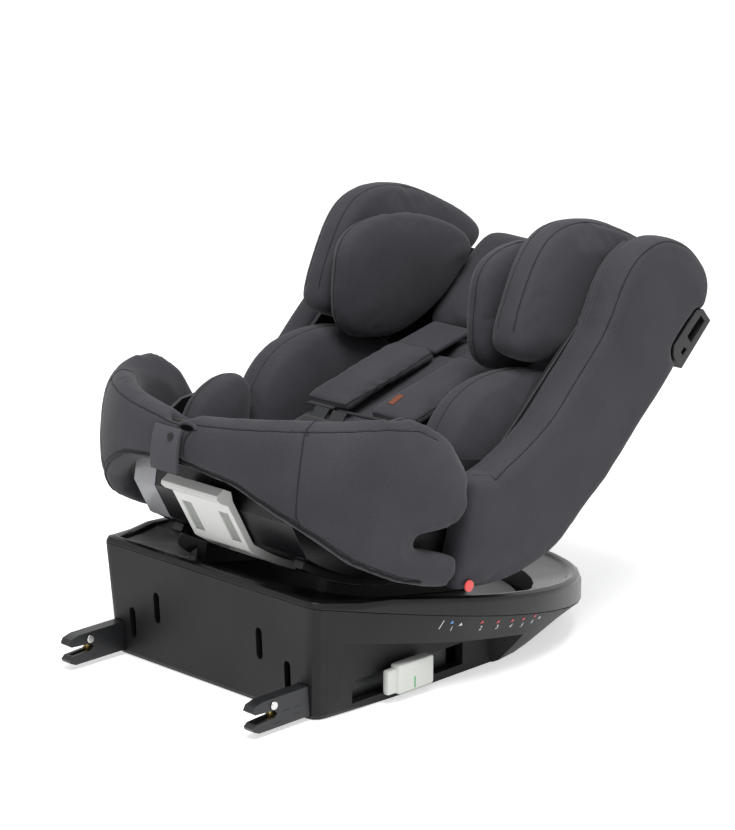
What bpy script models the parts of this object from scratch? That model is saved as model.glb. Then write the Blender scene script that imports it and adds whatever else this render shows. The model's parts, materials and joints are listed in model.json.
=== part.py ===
"""Rotating convertible child car seat on a base with two slide-out anchor arms.

Metres, +Z up. The origin is on the floor, under the turntable's axis. +Y is where the
seat's back leans, -Y is where the anchor arms come out, and X runs across the seat.
The lid falls towards +Y, so the turntable and everything above it is modelled in the
deck frame: its origin is where the axis crosses the rim, and its Z is the axis.
"""

import math

import bmesh
import bpy
from mathutils import Vector

MM = 0.001
DEGREE = math.pi / 180
GAP = 0.5 * MM

# Base
BASE_HALF_WIDTH = 216 * MM
BASE_REAR_HALF_WIDTH = 158 * MM
BASE_REAR = 222 * MM
BASE_FRONT = 258 * MM
BASE_CORNER = 16 * MM
BASE_WALL = 4 * MM
FLOOR_HALF_WIDTH = 167 * MM
FLOOR_REAR_HALF_WIDTH = 155 * MM
FLOOR_FRONT = 212 * MM
FLOOR_EDGE = 3 * MM
WALL_DRAFT = 6 * MM
SEAM_HEIGHT = 122 * MM
SEAM_TILT = 12 * DEGREE
SIDE_POWER = 1.6
FRONT_POWER = 2.2

# Deck: the tilted rim plane of the lid
DECK_HEIGHT = 97.5 * MM
DECK_TILT = 10 * DEGREE
LIP_WIDTH = 15 * MM
LIP_ROUND = 7 * MM
REAR_LEDGE_DROP = 6 * MM
LID_RIM = 23 * MM
BOWL_RADIUS = BASE_HALF_WIDTH - LID_RIM
BOWL_EDGE_DROP = 11 * MM
BOWL_DEPTH = 45 * MM
BOWL_DRAFT = 7 * MM
LID_WALL = 4 * MM

# Side pockets with the slot of each release button
POCKET_HALF_WIDTH = 160 * MM
POCKET_REAR = -186 * MM
POCKET_FRONT = 40 * MM
POCKET_BELOW_SEAM = 36 * MM
POCKET_ROOF_RISE = 12 * MM
SLOT_REAR = -168 * MM
SLOT_FRONT = -4 * MM
SLOT_LOW = 9 * MM
SLOT_HIGH = 33 * MM

# Blind slots moulded in the rear wall
REAR_SLOT_WIDTH = 9 * MM
REAR_SLOT_END = 4 * MM
REAR_SLOT_LENGTH = 34 * MM
REAR_SLOTS = ((78 * MM, 66 * MM), (118 * MM, 40 * MM))

# Anchor arms
ARM_SPACING = 280 * MM
ARM_WIDTH = 14 * MM
ARM_HEIGHT = 32 * MM
ARM_BOTTOM = 5.5 * MM
ARM_REACH = 72 * MM
ARM_LENGTH = 278 * MM
ARM_CLEARANCE = 1 * MM
JAW_MOUTH_LOW = 10 * MM
JAW_MOUTH_HIGH = 19.5 * MM
JAW_MOUTH_DEPTH = 34 * MM
RIVET_FROM_TIP = 29 * MM
RIVET_HEIGHT = 24.5 * MM
RIVET_RADIUS = 2 * MM
RIVET_HEAD_RADIUS = 4.6 * MM
RIVET_HEAD = 1.4 * MM
HOOK_SLOT_WIDTH = 6 * MM
HOOK_SLOT_REAR = 58 * MM
HOOK_ROOF = 2 * MM
HOOK_SIDE_GAP = 0.8 * MM
RAIL_WALL = 2.5 * MM
RAIL_FRONT = 24 * MM

# Release button in the side slot
BUTTON_REAR = -131 * MM
BUTTON_LENGTH = 64 * MM
BUTTON_STEP = 12 * MM
BUTTON_STEP_DROP = 4 * MM
BUTTON_HEIGHT = 32 * MM
BUTTON_LOW = 9.5 * MM
BUTTON_THICKNESS = 14 * MM
BUTTON_ROUND = 3 * MM
BUTTON_TRAVEL = 4 * MM
STEM_LENGTH = 16 * MM
STEM_HEIGHT = 10 * MM
STEM_CLEARANCE = 0.4 * MM

# Turntable
TURNTABLE_CLEARANCE = 13 * MM
TURNTABLE_RADIUS = BOWL_RADIUS - TURNTABLE_CLEARANCE
TURNTABLE_THICKNESS = 9 * MM
BEARING_INNER = 126 * MM
BEARING_OUTER = 148 * MM
BEARING_HEIGHT = 8 * MM
HUB_RADIUS = 104 * MM
HUB_HOLE_CLEARANCE = 4 * MM
RETAINER_RADIUS = 121 * MM
RETAINER_THICKNESS = 6 * MM
PIVOT_BOLT_RADIUS = 9 * MM
PIVOT_HEAD_RADIUS = 17 * MM
PIVOT_HEAD = 7 * MM

# Recline: the seat slides on arcs about a cross axis, in the deck frame
RECLINE_Y = -60 * MM
KEEL_RADIUS = 333 * MM
KEEL_DIP = 3 * MM
RECLINE_Z = KEEL_RADIUS - KEEL_DIP
KEEL_HALF_WIDTH = 118 * MM
KEEL_WALL = 5 * MM
KEEL_NOSE = -30 * DEGREE
KEEL_CHAMFER = -24.5 * DEGREE
KEEL_NOSE_RISE = 35 * MM
RUNNER_INNER = 84 * MM
RUNNER_WIDTH = 14 * MM
RUNNER_DEPTH = 9 * MM
RUNNER_FROM = -21 * DEGREE
RUNNER_TO = 20 * DEGREE
TRACK_FROM = -14 * DEGREE
TRACK_TO = 23 * DEGREE

# Recline lever under the seat's front edge
LEVER_HALF_WIDTH = 42 * MM
LEVER_THICKNESS = 8 * MM
LEVER_CLEARANCE = 2 * MM
LEVER_HINGE = -11.5 * DEGREE
LEVER_PANEL = 58 * MM
LEVER_WINDOW_HALF_WIDTH = 31 * MM
LEVER_WINDOW_FROM = -23.5 * DEGREE
LEVER_WINDOW_TO = -17 * DEGREE
LEVER_RECESS_FROM = 6 * MM
LEVER_RECESS_TO = 46 * MM
LEVER_RECESS_DEPTH = 2.5 * MM
LEVER_RECESS_HALF_WIDTH = 35 * MM
LEVER_RIB_HALF_WIDTH = 20 * MM
LEVER_PIN_RADIUS = 2.4 * MM
LEVER_PIN_CLEARANCE = 0.4 * MM
LEVER_LUG_WIDTH = 8 * MM

# Seat shell and covers
SEAT_HALF_WIDTH = 217 * MM
SIDE_COVER_THICKNESS = 41 * MM
COVER_CLEARANCE = 2.5 * MM
SHELL_WALL = 5.5 * MM
SHELL_CORNER = 26 * MM
SIDE_COVER_EDGE = 16 * MM
SIDE_COVER_TUCK = 15 * MM
SIDE_COVER_TUCK_HEIGHT = 65 * MM
APRON_CENTRE = -65 * MM
APRON_REACH = 227 * MM
APRON_FRONT = APRON_CENTRE - APRON_REACH
SHELL_SETBACK = 40 * MM
SHELL_LIP = 26 * MM
APRON_POWER = 2.6
APRON_THICKNESS = 34 * MM
APRON_REAR = -76 * MM

# Back: a straight line up the rear of the seat, seen from the side
BACK_FOOT_Y = 112 * MM
BACK_FOOT_Z = 83 * MM
BACK_SLOPE = 51.5 * DEGREE
BACK_TOP = 285 * MM
BACK_SKIN = 8 * MM

# Cushions
BOLSTER_SIDE_CLEARANCE = 3 * MM
SHELL_HALF_WIDTH = SEAT_HALF_WIDTH - SIDE_COVER_THICKNESS - COVER_CLEARANCE
PADDED_HALF_WIDTH = SHELL_HALF_WIDTH - SHELL_WALL - BOLSTER_SIDE_CLEARANCE
BOLSTER_THICKNESS = 52 * MM
BOLSTER_INNER = PADDED_HALF_WIDTH - BOLSTER_THICKNESS
HIP_BOLSTER_THICKNESS = 34 * MM
HIP_BOLSTER_SETBACK = 104 * MM
SEAT_CUSHION_SETBACK = 74 * MM
SEAT_CUSHION_THICKNESS = 30 * MM
BACK_CUSHION_THICKNESS = 31 * MM
CUSHION_CLEARANCE = 2 * MM
CUSHION_FLOOR = 1.6 * SHELL_WALL + CUSHION_CLEARANCE
CUSHION_EDGE = 9 * MM
CUSHION_CROWN = 5 * MM
BOLSTER_EDGE = 14 * MM

# Headrest
HEADREST_PLATE_THICKNESS = 7 * MM
HEADREST_PLATE_LOW = 150 * MM
HEADREST_PLATE_HIGH = 268 * MM
HEADREST_PAD_THICKNESS = 14 * MM
HEADREST_PAD_TOP = 304 * MM
HEADREST_WING_THICKNESS = 46 * MM
HEADREST_WING_INNER = PADDED_HALF_WIDTH - HEADREST_WING_THICKNESS
HEAD_INSERT_THICKNESS = 30 * MM
HEAD_INSERT_EDGE = 14 * MM
HEAD_INSERT_INNER = HEADREST_WING_INNER - CUSHION_CLEARANCE - HEAD_INSERT_THICKNESS
HEADREST_HANDLE_HALF_WIDTH = 38 * MM
HEADREST_HANDLE_HEIGHT = 18 * MM

# Harness
WEBBING_WIDTH = 38 * MM
WEBBING_THICKNESS = 2.4 * MM
PAD_WIDTH = 68 * MM
PAD_LENGTH = 148 * MM
PAD_THICKNESS = 14 * MM
PAD_INNER = 14 * MM
BUCKLE_LEAN = 30 * DEGREE
BUCKLE_HALF_WIDTH = 27 * MM
BUCKLE_LENGTH = 56 * MM
BUCKLE_THICKNESS = 22 * MM
BUCKLE_BUTTON_HALF_WIDTH = 12 * MM
BUCKLE_BUTTON_LENGTH = 20 * MM
BUCKLE_BUTTON_TRAVEL = 4 * MM
TONGUE_LENGTH = 14 * MM

# Harness adjuster in the front edge
ADJUSTER_HALF_WIDTH = 15 * MM
ADJUSTER_DEPTH = 14 * MM
ADJUSTER_SEAT_Z = 128 * MM
ADJUSTER_HOUSING_HEIGHT = 8 * MM
ADJUSTER_BUTTON_HEIGHT = 7 * MM
ADJUSTER_TRAVEL = 4 * MM

# Belt guide and recline marker on each side cover
GUIDE_LENGTH = 66 * MM
GUIDE_WIDTH = 24 * MM
GUIDE_THICKNESS = 12 * MM
GUIDE_SLOT_LENGTH = 30 * MM
GUIDE_SLOT_WIDTH = 11 * MM
GUIDE_ALONG_BACK = 232 * MM
MARKER_RADIUS = 6.2 * MM
MARKER_THICKNESS = 3 * MM
MARKER_Y = -54 * MM
MARKER_Z = 12 * MM

SIDES = (("left", -1), ("right", 1))
BACK_DIRECTION = Vector((0, math.cos(BACK_SLOPE), math.sin(BACK_SLOPE)))
BACK_NORMAL = Vector((0, -math.sin(BACK_SLOPE), math.cos(BACK_SLOPE)))


def clear_scene():
    for obj in list(bpy.data.objects):
        bpy.data.objects.remove(obj)


def finish(name, colour, roughness, metallic=0.0):
    """Principled material from an sRGB colour given as three values from 0 to 255."""
    material = bpy.data.materials.new(name)
    material.use_nodes = True
    shader = material.node_tree.nodes["Principled BSDF"]
    linear = [((c / 255 + 0.055) / 1.055) ** 2.4 if c > 10 else c / 255 / 12.92 for c in colour]
    shader.inputs["Base Color"].default_value = (*linear, 1)
    shader.inputs["Roughness"].default_value = roughness
    shader.inputs["Metallic"].default_value = metallic
    material.diffuse_color = (*linear, 1)
    return material


class Axis:
    """An empty on a joint's axis. Its origin is given in the frame that its pieces are modelled in."""

    def __init__(self, name, origin=(0, 0, 0), parent=None):
        self.origin = Vector(origin)
        self.empty = bpy.data.objects.new(name, None)
        self.empty.empty_display_size = 0.03
        bpy.context.collection.objects.link(self.empty)
        if parent:
            self.empty.parent = parent.empty
            self.empty.location = self.origin - parent.origin
        else:
            self.empty.location = self.origin


def piece(name, mesh_form, material, axis, smooth_angle=35):
    """One named object from a bmesh, with its origin on its axis."""
    bmesh.ops.translate(mesh_form, verts=mesh_form.verts, vec=-axis.origin)
    mesh = bpy.data.meshes.new(name)
    mesh_form.to_mesh(mesh)
    mesh_form.free()
    mesh.materials.append(material)
    mesh.shade_smooth()
    mesh.set_sharp_from_angle(angle=math.radians(smooth_angle))
    obj = bpy.data.objects.new(name, mesh)
    bpy.context.collection.objects.link(obj)
    obj.parent = axis.empty
    return obj


def cut(obj, *cutters, operation="DIFFERENCE"):
    """Boolean modifiers, one for each cutter. The cutters stay as hidden guides."""
    for cutter in cutters:
        cutter.hide_render = True
        cutter.display_type = "WIRE"
        modifier = obj.modifiers.new(cutter.name, "BOOLEAN")
        modifier.operation = operation
        modifier.solver = "EXACT"
        modifier.object = cutter
    return obj


def skin(rings, loop=False):
    """Closed form through rings of points. The end rings are capped, unless the last joins the first."""
    form = bmesh.new()
    loops = [[form.verts.new(point) for point in ring] for ring in rings]
    pairs = list(zip(loops, loops[1:]))
    if loop:
        pairs.append((loops[-1], loops[0]))
    else:
        form.faces.new(loops[0])
        form.faces.new(loops[-1])
    for first, second in pairs:
        for i in range(len(first)):
            j = (i + 1) % len(first)
            form.faces.new((first[i], first[j], second[j], second[i]))
    bmesh.ops.recalc_face_normals(form, faces=form.faces)
    return form


def block(low, high, round_by=0.0, segments=2):
    """Box between two corners, with its edges rounded."""
    low, high = Vector(low), Vector(high)
    form = bmesh.new()
    bmesh.ops.create_cube(form, size=1)
    bmesh.ops.scale(form, verts=form.verts, vec=high - low)
    bmesh.ops.translate(form, verts=form.verts, vec=(low + high) / 2)
    if round_by:
        bmesh.ops.bevel(
            form, geom=form.edges, offset=round_by, segments=segments, profile=0.5, affect="EDGES"
        )
    return form


def rod(start, end, radius, sides=20):
    """Cylinder between two points."""
    start, end = Vector(start), Vector(end)
    form = bmesh.new()
    bmesh.ops.create_cone(
        form, cap_ends=True, segments=sides, radius1=radius, radius2=radius, depth=(end - start).length
    )
    turn = Vector((0, 0, 1)).rotation_difference(end - start)
    bmesh.ops.rotate(form, verts=form.verts, cent=(0, 0, 0), matrix=turn.to_matrix())
    bmesh.ops.translate(form, verts=form.verts, vec=(start + end) / 2)
    return form


def turned(profile, steps=48):
    """Ring turned about Z from a closed profile of (radius, height) points."""
    rings = []
    for step in range(steps):
        angle = 2 * math.pi * step / steps
        rings.append([Vector((r * math.cos(angle), r * math.sin(angle), z)) for r, z in profile])
    return skin(rings, loop=True)


def plate(outline, x_low, x_high):
    """Side outline of (y, z) points drawn across from one X to another."""
    return skin([[Vector((x, y, z)) for y, z in outline] for x in (x_low, x_high)])


def flow(points, steps, closed=True):
    """Smooth curve through points of any dimension, with a number of steps to each span."""
    count = len(points)
    spans = count if closed else count - 1
    curve = []
    for i in range(spans):
        if closed:
            near = [points[(i + k) % count] for k in (-1, 0, 1, 2)]
        else:
            near = [points[min(max(i + k, 0), count - 1)] for k in (-1, 0, 1, 2)]
        for step in range(steps):
            t = step / steps
            weights = (
                (-t + 2 * t * t - t**3) / 2,
                (2 - 5 * t * t + 3 * t**3) / 2,
                (t + 4 * t * t - 3 * t**3) / 2,
                (t**3 - t * t) / 2,
            )
            curve.append(
                tuple(sum(w * p[axis] for w, p in zip(weights, near)) for axis in range(len(points[0])))
            )
    if not closed:
        curve.append(tuple(points[-1]))
    return curve


def inset(outline, amount):
    """Closed flat outline drawn in by an amount along its corner normals."""
    count = len(outline)
    area = sum(
        outline[i][0] * outline[(i + 1) % count][1] - outline[(i + 1) % count][0] * outline[i][1]
        for i in range(count)
    )
    inward = amount if area > 0 else -amount
    drawn = []
    for i, (u, v) in enumerate(outline):
        before, after = outline[i - 1], outline[(i + 1) % count]
        along = Vector((after[0] - before[0], after[1] - before[1])).normalized()
        drawn.append((u - inward * along.y, v + inward * along.x))
    return drawn


def pillow(outline, low, high, place, edge, crown_low=0.0, crown_high=0.0):
    """Padded form: an outline raised from one height to another, rounded at the edges and crowned.

    place(u, v, w) puts a point of the outline (u, v) at height w.
    """
    half = 1 - math.sqrt(0.5)
    levels = [
        (low - crown_low, 2.2 * edge),
        (low, edge),
        (low + half * edge, half * edge),
        (low + edge, 0.0),
        (high - edge, 0.0),
        (high - half * edge, half * edge),
        (high, edge),
        (high + crown_high, 2.2 * edge),
    ]
    if not crown_low:
        levels = levels[1:]
    if not crown_high:
        levels = levels[:-1]
    rings = []
    for height, drawn_in in levels:
        rings.append([place(u, v, height) for u, v in inset(outline, drawn_in)])
    return skin(rings)


def bent(form, axis, stations, move):
    """Form split at stations along an axis, with each of its points then moved."""
    normal = Vector((0, 0, 0))
    normal[axis] = 1
    for station in stations:
        geom = form.verts[:] + form.edges[:] + form.faces[:]
        bmesh.ops.bisect_plane(form, geom=geom, plane_co=normal * station, plane_no=normal)
    for vertex in form.verts:
        vertex.co = move(vertex.co)
    return form


def ribbon(route, width, thickness, x_of):
    """Flat webbing along (y, z) points. x_of(share) gives the middle's X along the route."""
    rings = []
    for i, point in enumerate(route):
        before, after = route[max(i - 1, 0)], route[min(i + 1, len(route) - 1)]
        along = Vector((0, after[0] - before[0], after[1] - before[1])).normalized()
        rise = Vector((1, 0, 0)).cross(along) * thickness / 2
        middle = Vector((x_of(i / (len(route) - 1)), *point))
        across = Vector((width / 2, 0, 0))
        low = [middle - across - rise, middle + across - rise]
        high = [middle + across + rise, middle - across + rise]
        rings.append(low + high)
    return skin(rings)


def between(first, second, share):
    return first + (second - first) * share


def lookup(table, value):
    """Straight-line reading of a table of (value, result) pairs in rising order."""
    if value <= table[0][0]:
        return table[0][1]
    for (v0, r0), (v1, r1) in zip(table, table[1:]):
        if value <= v1:
            return between(r0, r1, (value - v0) / (v1 - v0))
    return table[-1][1]


def super_arc(half_width, reach, power, angle):
    """Point of a superellipse quarter, from (half_width, 0) at angle 0 to (0, reach) at 90 degrees."""
    return (
        half_width * max(math.cos(angle), 0) ** (2 / power),
        reach * max(math.sin(angle), 0) ** (2 / power),
    )


def seam_height(y):
    return SEAM_HEIGHT - math.tan(SEAM_TILT) * (y + BASE_REAR)


def deck_to_world(x, y, z):
    return Vector(
        (
            x,
            y * math.cos(DECK_TILT) + z * math.sin(DECK_TILT),
            DECK_HEIGHT - y * math.sin(DECK_TILT) + z * math.cos(DECK_TILT),
        )
    )


def bowl_at_seam(radius, angle):
    """Where the bowl's outer wall meets the lid's lower face."""
    y = radius * math.cos(angle)
    slope = math.tan(SEAM_TILT)
    sine, cosine = math.sin(DECK_TILT), math.cos(DECK_TILT)
    level = seam_height(0) + GAP - DECK_HEIGHT + y * (sine - slope * cosine)
    return deck_to_world(radius * math.sin(angle), y, level / (cosine + slope * sine))


def rim_height(y):
    """Height of the lid's lip over the floor. It steps down to a ledge behind the turntable."""
    rise = min(max((y + BASE_REAR - 35 * MM) / (60 * MM), 0), 1)
    drop = REAR_LEDGE_DROP * (1 - rise * rise * (3 - 2 * rise))
    return DECK_HEIGHT - math.tan(DECK_TILT) * y - drop


def plan_outline(half_width, rear_half_width, rear, front, drawn_in=0.0):
    """Plan of the base: straight rear wall, round corners, sides that widen, and a round front."""
    half_width -= drawn_in
    rear_half_width -= drawn_in
    rear -= drawn_in
    front -= drawn_in
    corner = max(BASE_CORNER - drawn_in, 4 * MM)

    def side(y):
        return half_width - (half_width - rear_half_width) * (abs(y) / rear) ** SIDE_POWER

    corner_y = -rear + corner
    corner_x = side(corner_y) - corner
    right = [(corner_x * 0.4, -rear)]
    for step in range(4):
        angle = math.pi / 6 * step
        right.append((corner_x + corner * math.sin(angle), corner_y - corner * math.cos(angle)))
    for step in range(1, 6):
        y = corner_y * (1 - step / 6)
        right.append((side(y), y))
    for step in range(10):
        angle = math.pi / 2 * step / 10
        right.append(super_arc(half_width, front, FRONT_POWER, angle))
    return right + [(0.0, front)] + [(-x, y) for x, y in reversed(right)]


def make_base(root, deck, plastics):
    make_housing(root, plastics["base"])
    make_lid(root, plastics["lid"])
    low = -BOWL_DEPTH + GAP
    race = turned(
        [
            (BEARING_INNER, low),
            (BEARING_OUTER, low),
            (BEARING_OUTER, low + BEARING_HEIGHT),
            (BEARING_INNER, low + BEARING_HEIGHT),
        ]
    )
    piece("bearing_ring", race, plastics["bearing"], deck)


def make_housing(root, material):
    rings = []
    for level in (0.0, 0.04, 0.3, 0.6, 0.85, 1.0):
        edge = FLOOR_EDGE if level == 0 else 0.0
        outline = plan_outline(
            between(FLOOR_HALF_WIDTH, BASE_HALF_WIDTH, level**0.9),
            between(FLOOR_REAR_HALF_WIDTH, BASE_REAR_HALF_WIDTH, level),
            between(BASE_REAR - WALL_DRAFT, BASE_REAR, level),
            between(FLOOR_FRONT, BASE_FRONT, level),
            edge,
        )
        rings.append([Vector((x, y, level * seam_height(y))) for x, y in outline])
    housing = piece("base_housing", skin(rings), material, root)

    inner = ARM_SPACING / 2 + ARM_WIDTH / 2 + 2.5 * ARM_CLEARANCE
    cavity = block((-inner, -BASE_REAR + WALL_DRAFT + BASE_WALL, BASE_WALL), (inner, 120 * MM, SEAM_HEIGHT))
    cutters = [piece("cavity_cutter", cavity, material, root)]
    top = 2 * BOWL_DEPTH
    bowl = [deck_to_world(0, 0, z) for z in (-BOWL_DEPTH - LID_WALL - GAP, top)]
    cutters.append(piece("bowl_cutter", rod(*bowl, BOWL_RADIUS + LID_WALL + GAP, 64), material, root))
    for name, side in SIDES:
        middle = side * ARM_SPACING / 2
        reach = ARM_WIDTH / 2 + ARM_CLEARANCE
        mouth_top = ARM_BOTTOM + ARM_HEIGHT + ARM_CLEARANCE
        mouth = block(
            (middle - reach, -BASE_REAR - 10 * MM, ARM_BOTTOM - ARM_CLEARANCE),
            (middle + reach, -BASE_REAR + WALL_DRAFT + 2 * BASE_WALL, mouth_top),
        )
        cutters.append(piece(f"arm_mouth_cutter_{name}", mouth, material, root))
        cutters.append(piece(f"pocket_cutter_{name}", pocket_form(side), material, root))
        slot = block(
            (side * (inner - 4 * MM), SLOT_REAR, SLOT_LOW),
            (side * (POCKET_HALF_WIDTH + 4 * MM), SLOT_FRONT, SLOT_HIGH),
        )
        bmesh.ops.recalc_face_normals(slot, faces=slot.faces)
        cutters.append(piece(f"slot_cutter_{name}", slot, material, root))
        for number, (x, z) in enumerate(REAR_SLOTS):
            pocket = rear_slot_form(side * x, z)
            cutters.append(piece(f"rear_slot_cutter_{name}_{number}", pocket, material, root))
    cut(housing, *cutters)


def pocket_form(side):
    """Sunken field low on the base's side: its roof follows the seam, and it fades out to the front."""
    deep = side * POCKET_HALF_WIDTH
    wide = side * (BASE_HALF_WIDTH + 30 * MM)
    low = -10 * MM
    rear_roof = seam_height(POCKET_REAR) - POCKET_BELOW_SEAM
    front_roof = seam_height(POCKET_FRONT) - POCKET_BELOW_SEAM
    fade = 45 * MM
    inner = [(deep, POCKET_REAR, low), (deep, POCKET_FRONT, low)]
    inner += [(deep, POCKET_FRONT, front_roof), (deep, POCKET_REAR, rear_roof)]
    outer = [(wide, POCKET_REAR - 6 * MM, low), (wide, POCKET_FRONT + fade, low)]
    rise = POCKET_ROOF_RISE
    outer.append((wide, POCKET_FRONT + fade, front_roof + rise))
    outer.append((wide, POCKET_REAR - 6 * MM, rear_roof + rise))
    return skin([[Vector(p) for p in inner], [Vector(p) for p in outer]])


def rear_slot_form(x, z):
    """Upright slot through the rear wall into the hollow base, round at both ends."""
    half = REAR_SLOT_WIDTH / 2
    rise = REAR_SLOT_LENGTH / 2
    end = rise - REAR_SLOT_END
    side = half - REAR_SLOT_END / 2
    outline = [(-half, -end), (-side, -rise), (side, -rise), (half, -end)]
    outline += [(half, end), (side, rise), (-side, rise), (-half, end)]
    depths = (-BASE_REAR - 10 * MM, -BASE_REAR + WALL_DRAFT + BASE_WALL + GAP)
    return skin([[Vector((x + u, y, z + v)) for u, v in outline] for y in depths])


def make_lid(root, material):
    """Lid with a round lip, a ledge behind, and the bowl that the turntable runs in."""

    def plan(drawn_in, height):
        outline = plan_outline(BASE_HALF_WIDTH, BASE_REAR_HALF_WIDTH, BASE_REAR, BASE_FRONT, drawn_in)
        return [Vector((x, y, height(y))) for x, y in outline]

    angles = [
        math.atan2(x, y)
        for x, y in plan_outline(BASE_HALF_WIDTH, BASE_REAR_HALF_WIDTH, BASE_REAR, BASE_FRONT)
    ]

    def circle(radius, z):
        return [deck_to_world(radius * math.sin(a), radius * math.cos(a), z) for a in angles]

    def seat_line(y):
        return seam_height(y) + GAP

    half = 1 - math.sqrt(0.5)
    hole = HUB_RADIUS + HUB_HOLE_CLEARANCE
    floor_radius = BOWL_RADIUS - BOWL_DRAFT
    under = -BOWL_DEPTH - LID_WALL
    wall_radius = BOWL_RADIUS + LID_WALL
    foot = [bowl_at_seam(wall_radius, a) for a in angles]
    rings = [
        plan(0, seat_line),
        plan(0, lambda y: rim_height(y) - LIP_ROUND),
        plan(half * LIP_ROUND, lambda y: rim_height(y) - half * LIP_ROUND),
        plan(LIP_ROUND, rim_height),
        plan(LIP_WIDTH - 3 * MM, lambda y: rim_height(y) - 1 * MM),
        plan(LIP_WIDTH, lambda y: rim_height(y) - 4 * MM),
        circle(BOWL_RADIUS, -BOWL_EDGE_DROP),
        circle(floor_radius, -BOWL_DEPTH),
        circle(hole, -BOWL_DEPTH),
        circle(hole, under),
        circle(floor_radius + LID_WALL, under),
        foot,
    ]
    piece("base_lid", skin(rings, loop=True), material, root)


def make_anchor_arm(name, side, root, finishes):
    """Anchor arm with its jaw, hook, rivet and release button."""
    middle = side * ARM_SPACING / 2
    tip = -BASE_REAR - ARM_REACH
    slide = Axis(f"anchor_arm_slide_{name}", (middle, tip + ARM_REACH, ARM_BOTTOM), root)
    outline = [
        (ARM_LENGTH, 0),
        (9 * MM, 0),
        (2 * MM, 3 * MM),
        (0.5 * MM, 6.5 * MM),
        (5 * MM, JAW_MOUTH_LOW),
        (JAW_MOUTH_DEPTH - 4 * MM, JAW_MOUTH_LOW + 1.5 * MM),
        (JAW_MOUTH_DEPTH, (JAW_MOUTH_LOW + JAW_MOUTH_HIGH) / 2),
        (JAW_MOUTH_DEPTH - 4 * MM, JAW_MOUTH_HIGH - 0.5 * MM),
        (4 * MM, JAW_MOUTH_HIGH + 1 * MM),
        (0, JAW_MOUTH_HIGH + 4 * MM),
        (3 * MM, ARM_HEIGHT - 3 * MM),
        (14 * MM, ARM_HEIGHT),
        (ARM_LENGTH, ARM_HEIGHT),
    ]
    outline = [(tip + u, ARM_BOTTOM + v) for u, v in outline]
    half = ARM_WIDTH / 2
    arm_form = plate(outline, middle - half, middle + half)
    arm = piece(f"anchor_arm_{name}", arm_form, finishes["steel"], slide)
    slot = block(
        (middle - HOOK_SLOT_WIDTH / 2, tip + 7 * MM, ARM_BOTTOM - 5 * MM),
        (middle + HOOK_SLOT_WIDTH / 2, tip + HOOK_SLOT_REAR, ARM_BOTTOM + ARM_HEIGHT - HOOK_ROOF),
    )
    pivot = Vector((middle, tip + RIVET_FROM_TIP, ARM_BOTTOM + RIVET_HEIGHT))
    across = Vector((ARM_WIDTH, 0, 0))
    bore = rod(pivot - across, pivot + across, RIVET_RADIUS + GAP / 2)
    stem_y = BUTTON_REAR + BUTTON_STEP + (BUTTON_LENGTH - BUTTON_STEP) / 2
    stem_z = BUTTON_LOW + BUTTON_HEIGHT / 2
    reach = Vector((2 * ARM_WIDTH, STEM_LENGTH / 2 + STEM_CLEARANCE, STEM_HEIGHT / 2 + STEM_CLEARANCE))
    socket_at = Vector((middle, stem_y, stem_z))
    socket = block(socket_at - reach, socket_at + reach)
    cut(
        arm,
        piece(f"hook_slot_cutter_{name}", slot, finishes["steel"], slide),
        piece(f"rivet_bore_cutter_{name}", bore, finishes["steel"], slide),
        piece(f"stem_socket_cutter_{name}", socket, finishes["steel"], slide),
    )
    make_rivet(name, pivot, slide, finishes["rivet"])
    make_hook(name, pivot, slide, finishes["hook"])
    make_release_button(name, side, stem_y, stem_z, slide, finishes["button"])


def make_rivet(name, pivot, slide, material):
    """Rivet with a flat head on each side of the arm."""
    half = ARM_WIDTH / 2 + GAP
    levels = [
        (-half - RIVET_HEAD, RIVET_HEAD_RADIUS - 0.8 * MM),
        (-half - RIVET_HEAD / 2, RIVET_HEAD_RADIUS),
        (-half, RIVET_HEAD_RADIUS),
        (-half, RIVET_RADIUS),
        (half, RIVET_RADIUS),
        (half, RIVET_HEAD_RADIUS),
        (half + RIVET_HEAD / 2, RIVET_HEAD_RADIUS),
        (half + RIVET_HEAD, RIVET_HEAD_RADIUS - 0.8 * MM),
    ]
    piece(f"anchor_rivet_{name}", spindle(pivot, levels), material, slide)


def spindle(middle, levels, sides=16):
    """Turned form along X from (x offset, radius) pairs."""
    rings = []
    for offset, radius in levels:
        ring = []
        for step in range(sides):
            angle = 2 * math.pi * step / sides
            ring.append(middle + Vector((offset, radius * math.cos(angle), radius * math.sin(angle))))
        rings.append(ring)
    return skin(rings)


def make_hook(name, pivot, slide, material):
    """Latch hook on the rivet: a finger held up in the upper jaw and a tail across the mouth's end."""
    turn = Axis(f"anchor_hook_pivot_{name}", pivot, slide)
    outline = [
        (-19, 1),
        (-19, -3),
        (-8, -4.2),
        (-2, -8),
        (0, -16.5),
        (5, -18),
        (9, -10),
        (6, -3),
        (4, 0),
        (2.7, 2.7),
        (0, 3.8),
        (-2.7, 2.7),
        (-8, 2),
    ]
    outline = [(pivot.y + u * MM, pivot.z + v * MM) for u, v in outline]
    half = HOOK_SLOT_WIDTH / 2 - HOOK_SIDE_GAP
    hook = piece(f"anchor_hook_{name}", plate(outline, pivot.x - half, pivot.x + half), material, turn)
    across = Vector((ARM_WIDTH, 0, 0))
    bore = rod(pivot - across, pivot + across, RIVET_RADIUS + GAP / 2)
    cut(hook, piece(f"hook_bore_cutter_{name}", bore, material, turn))


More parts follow.
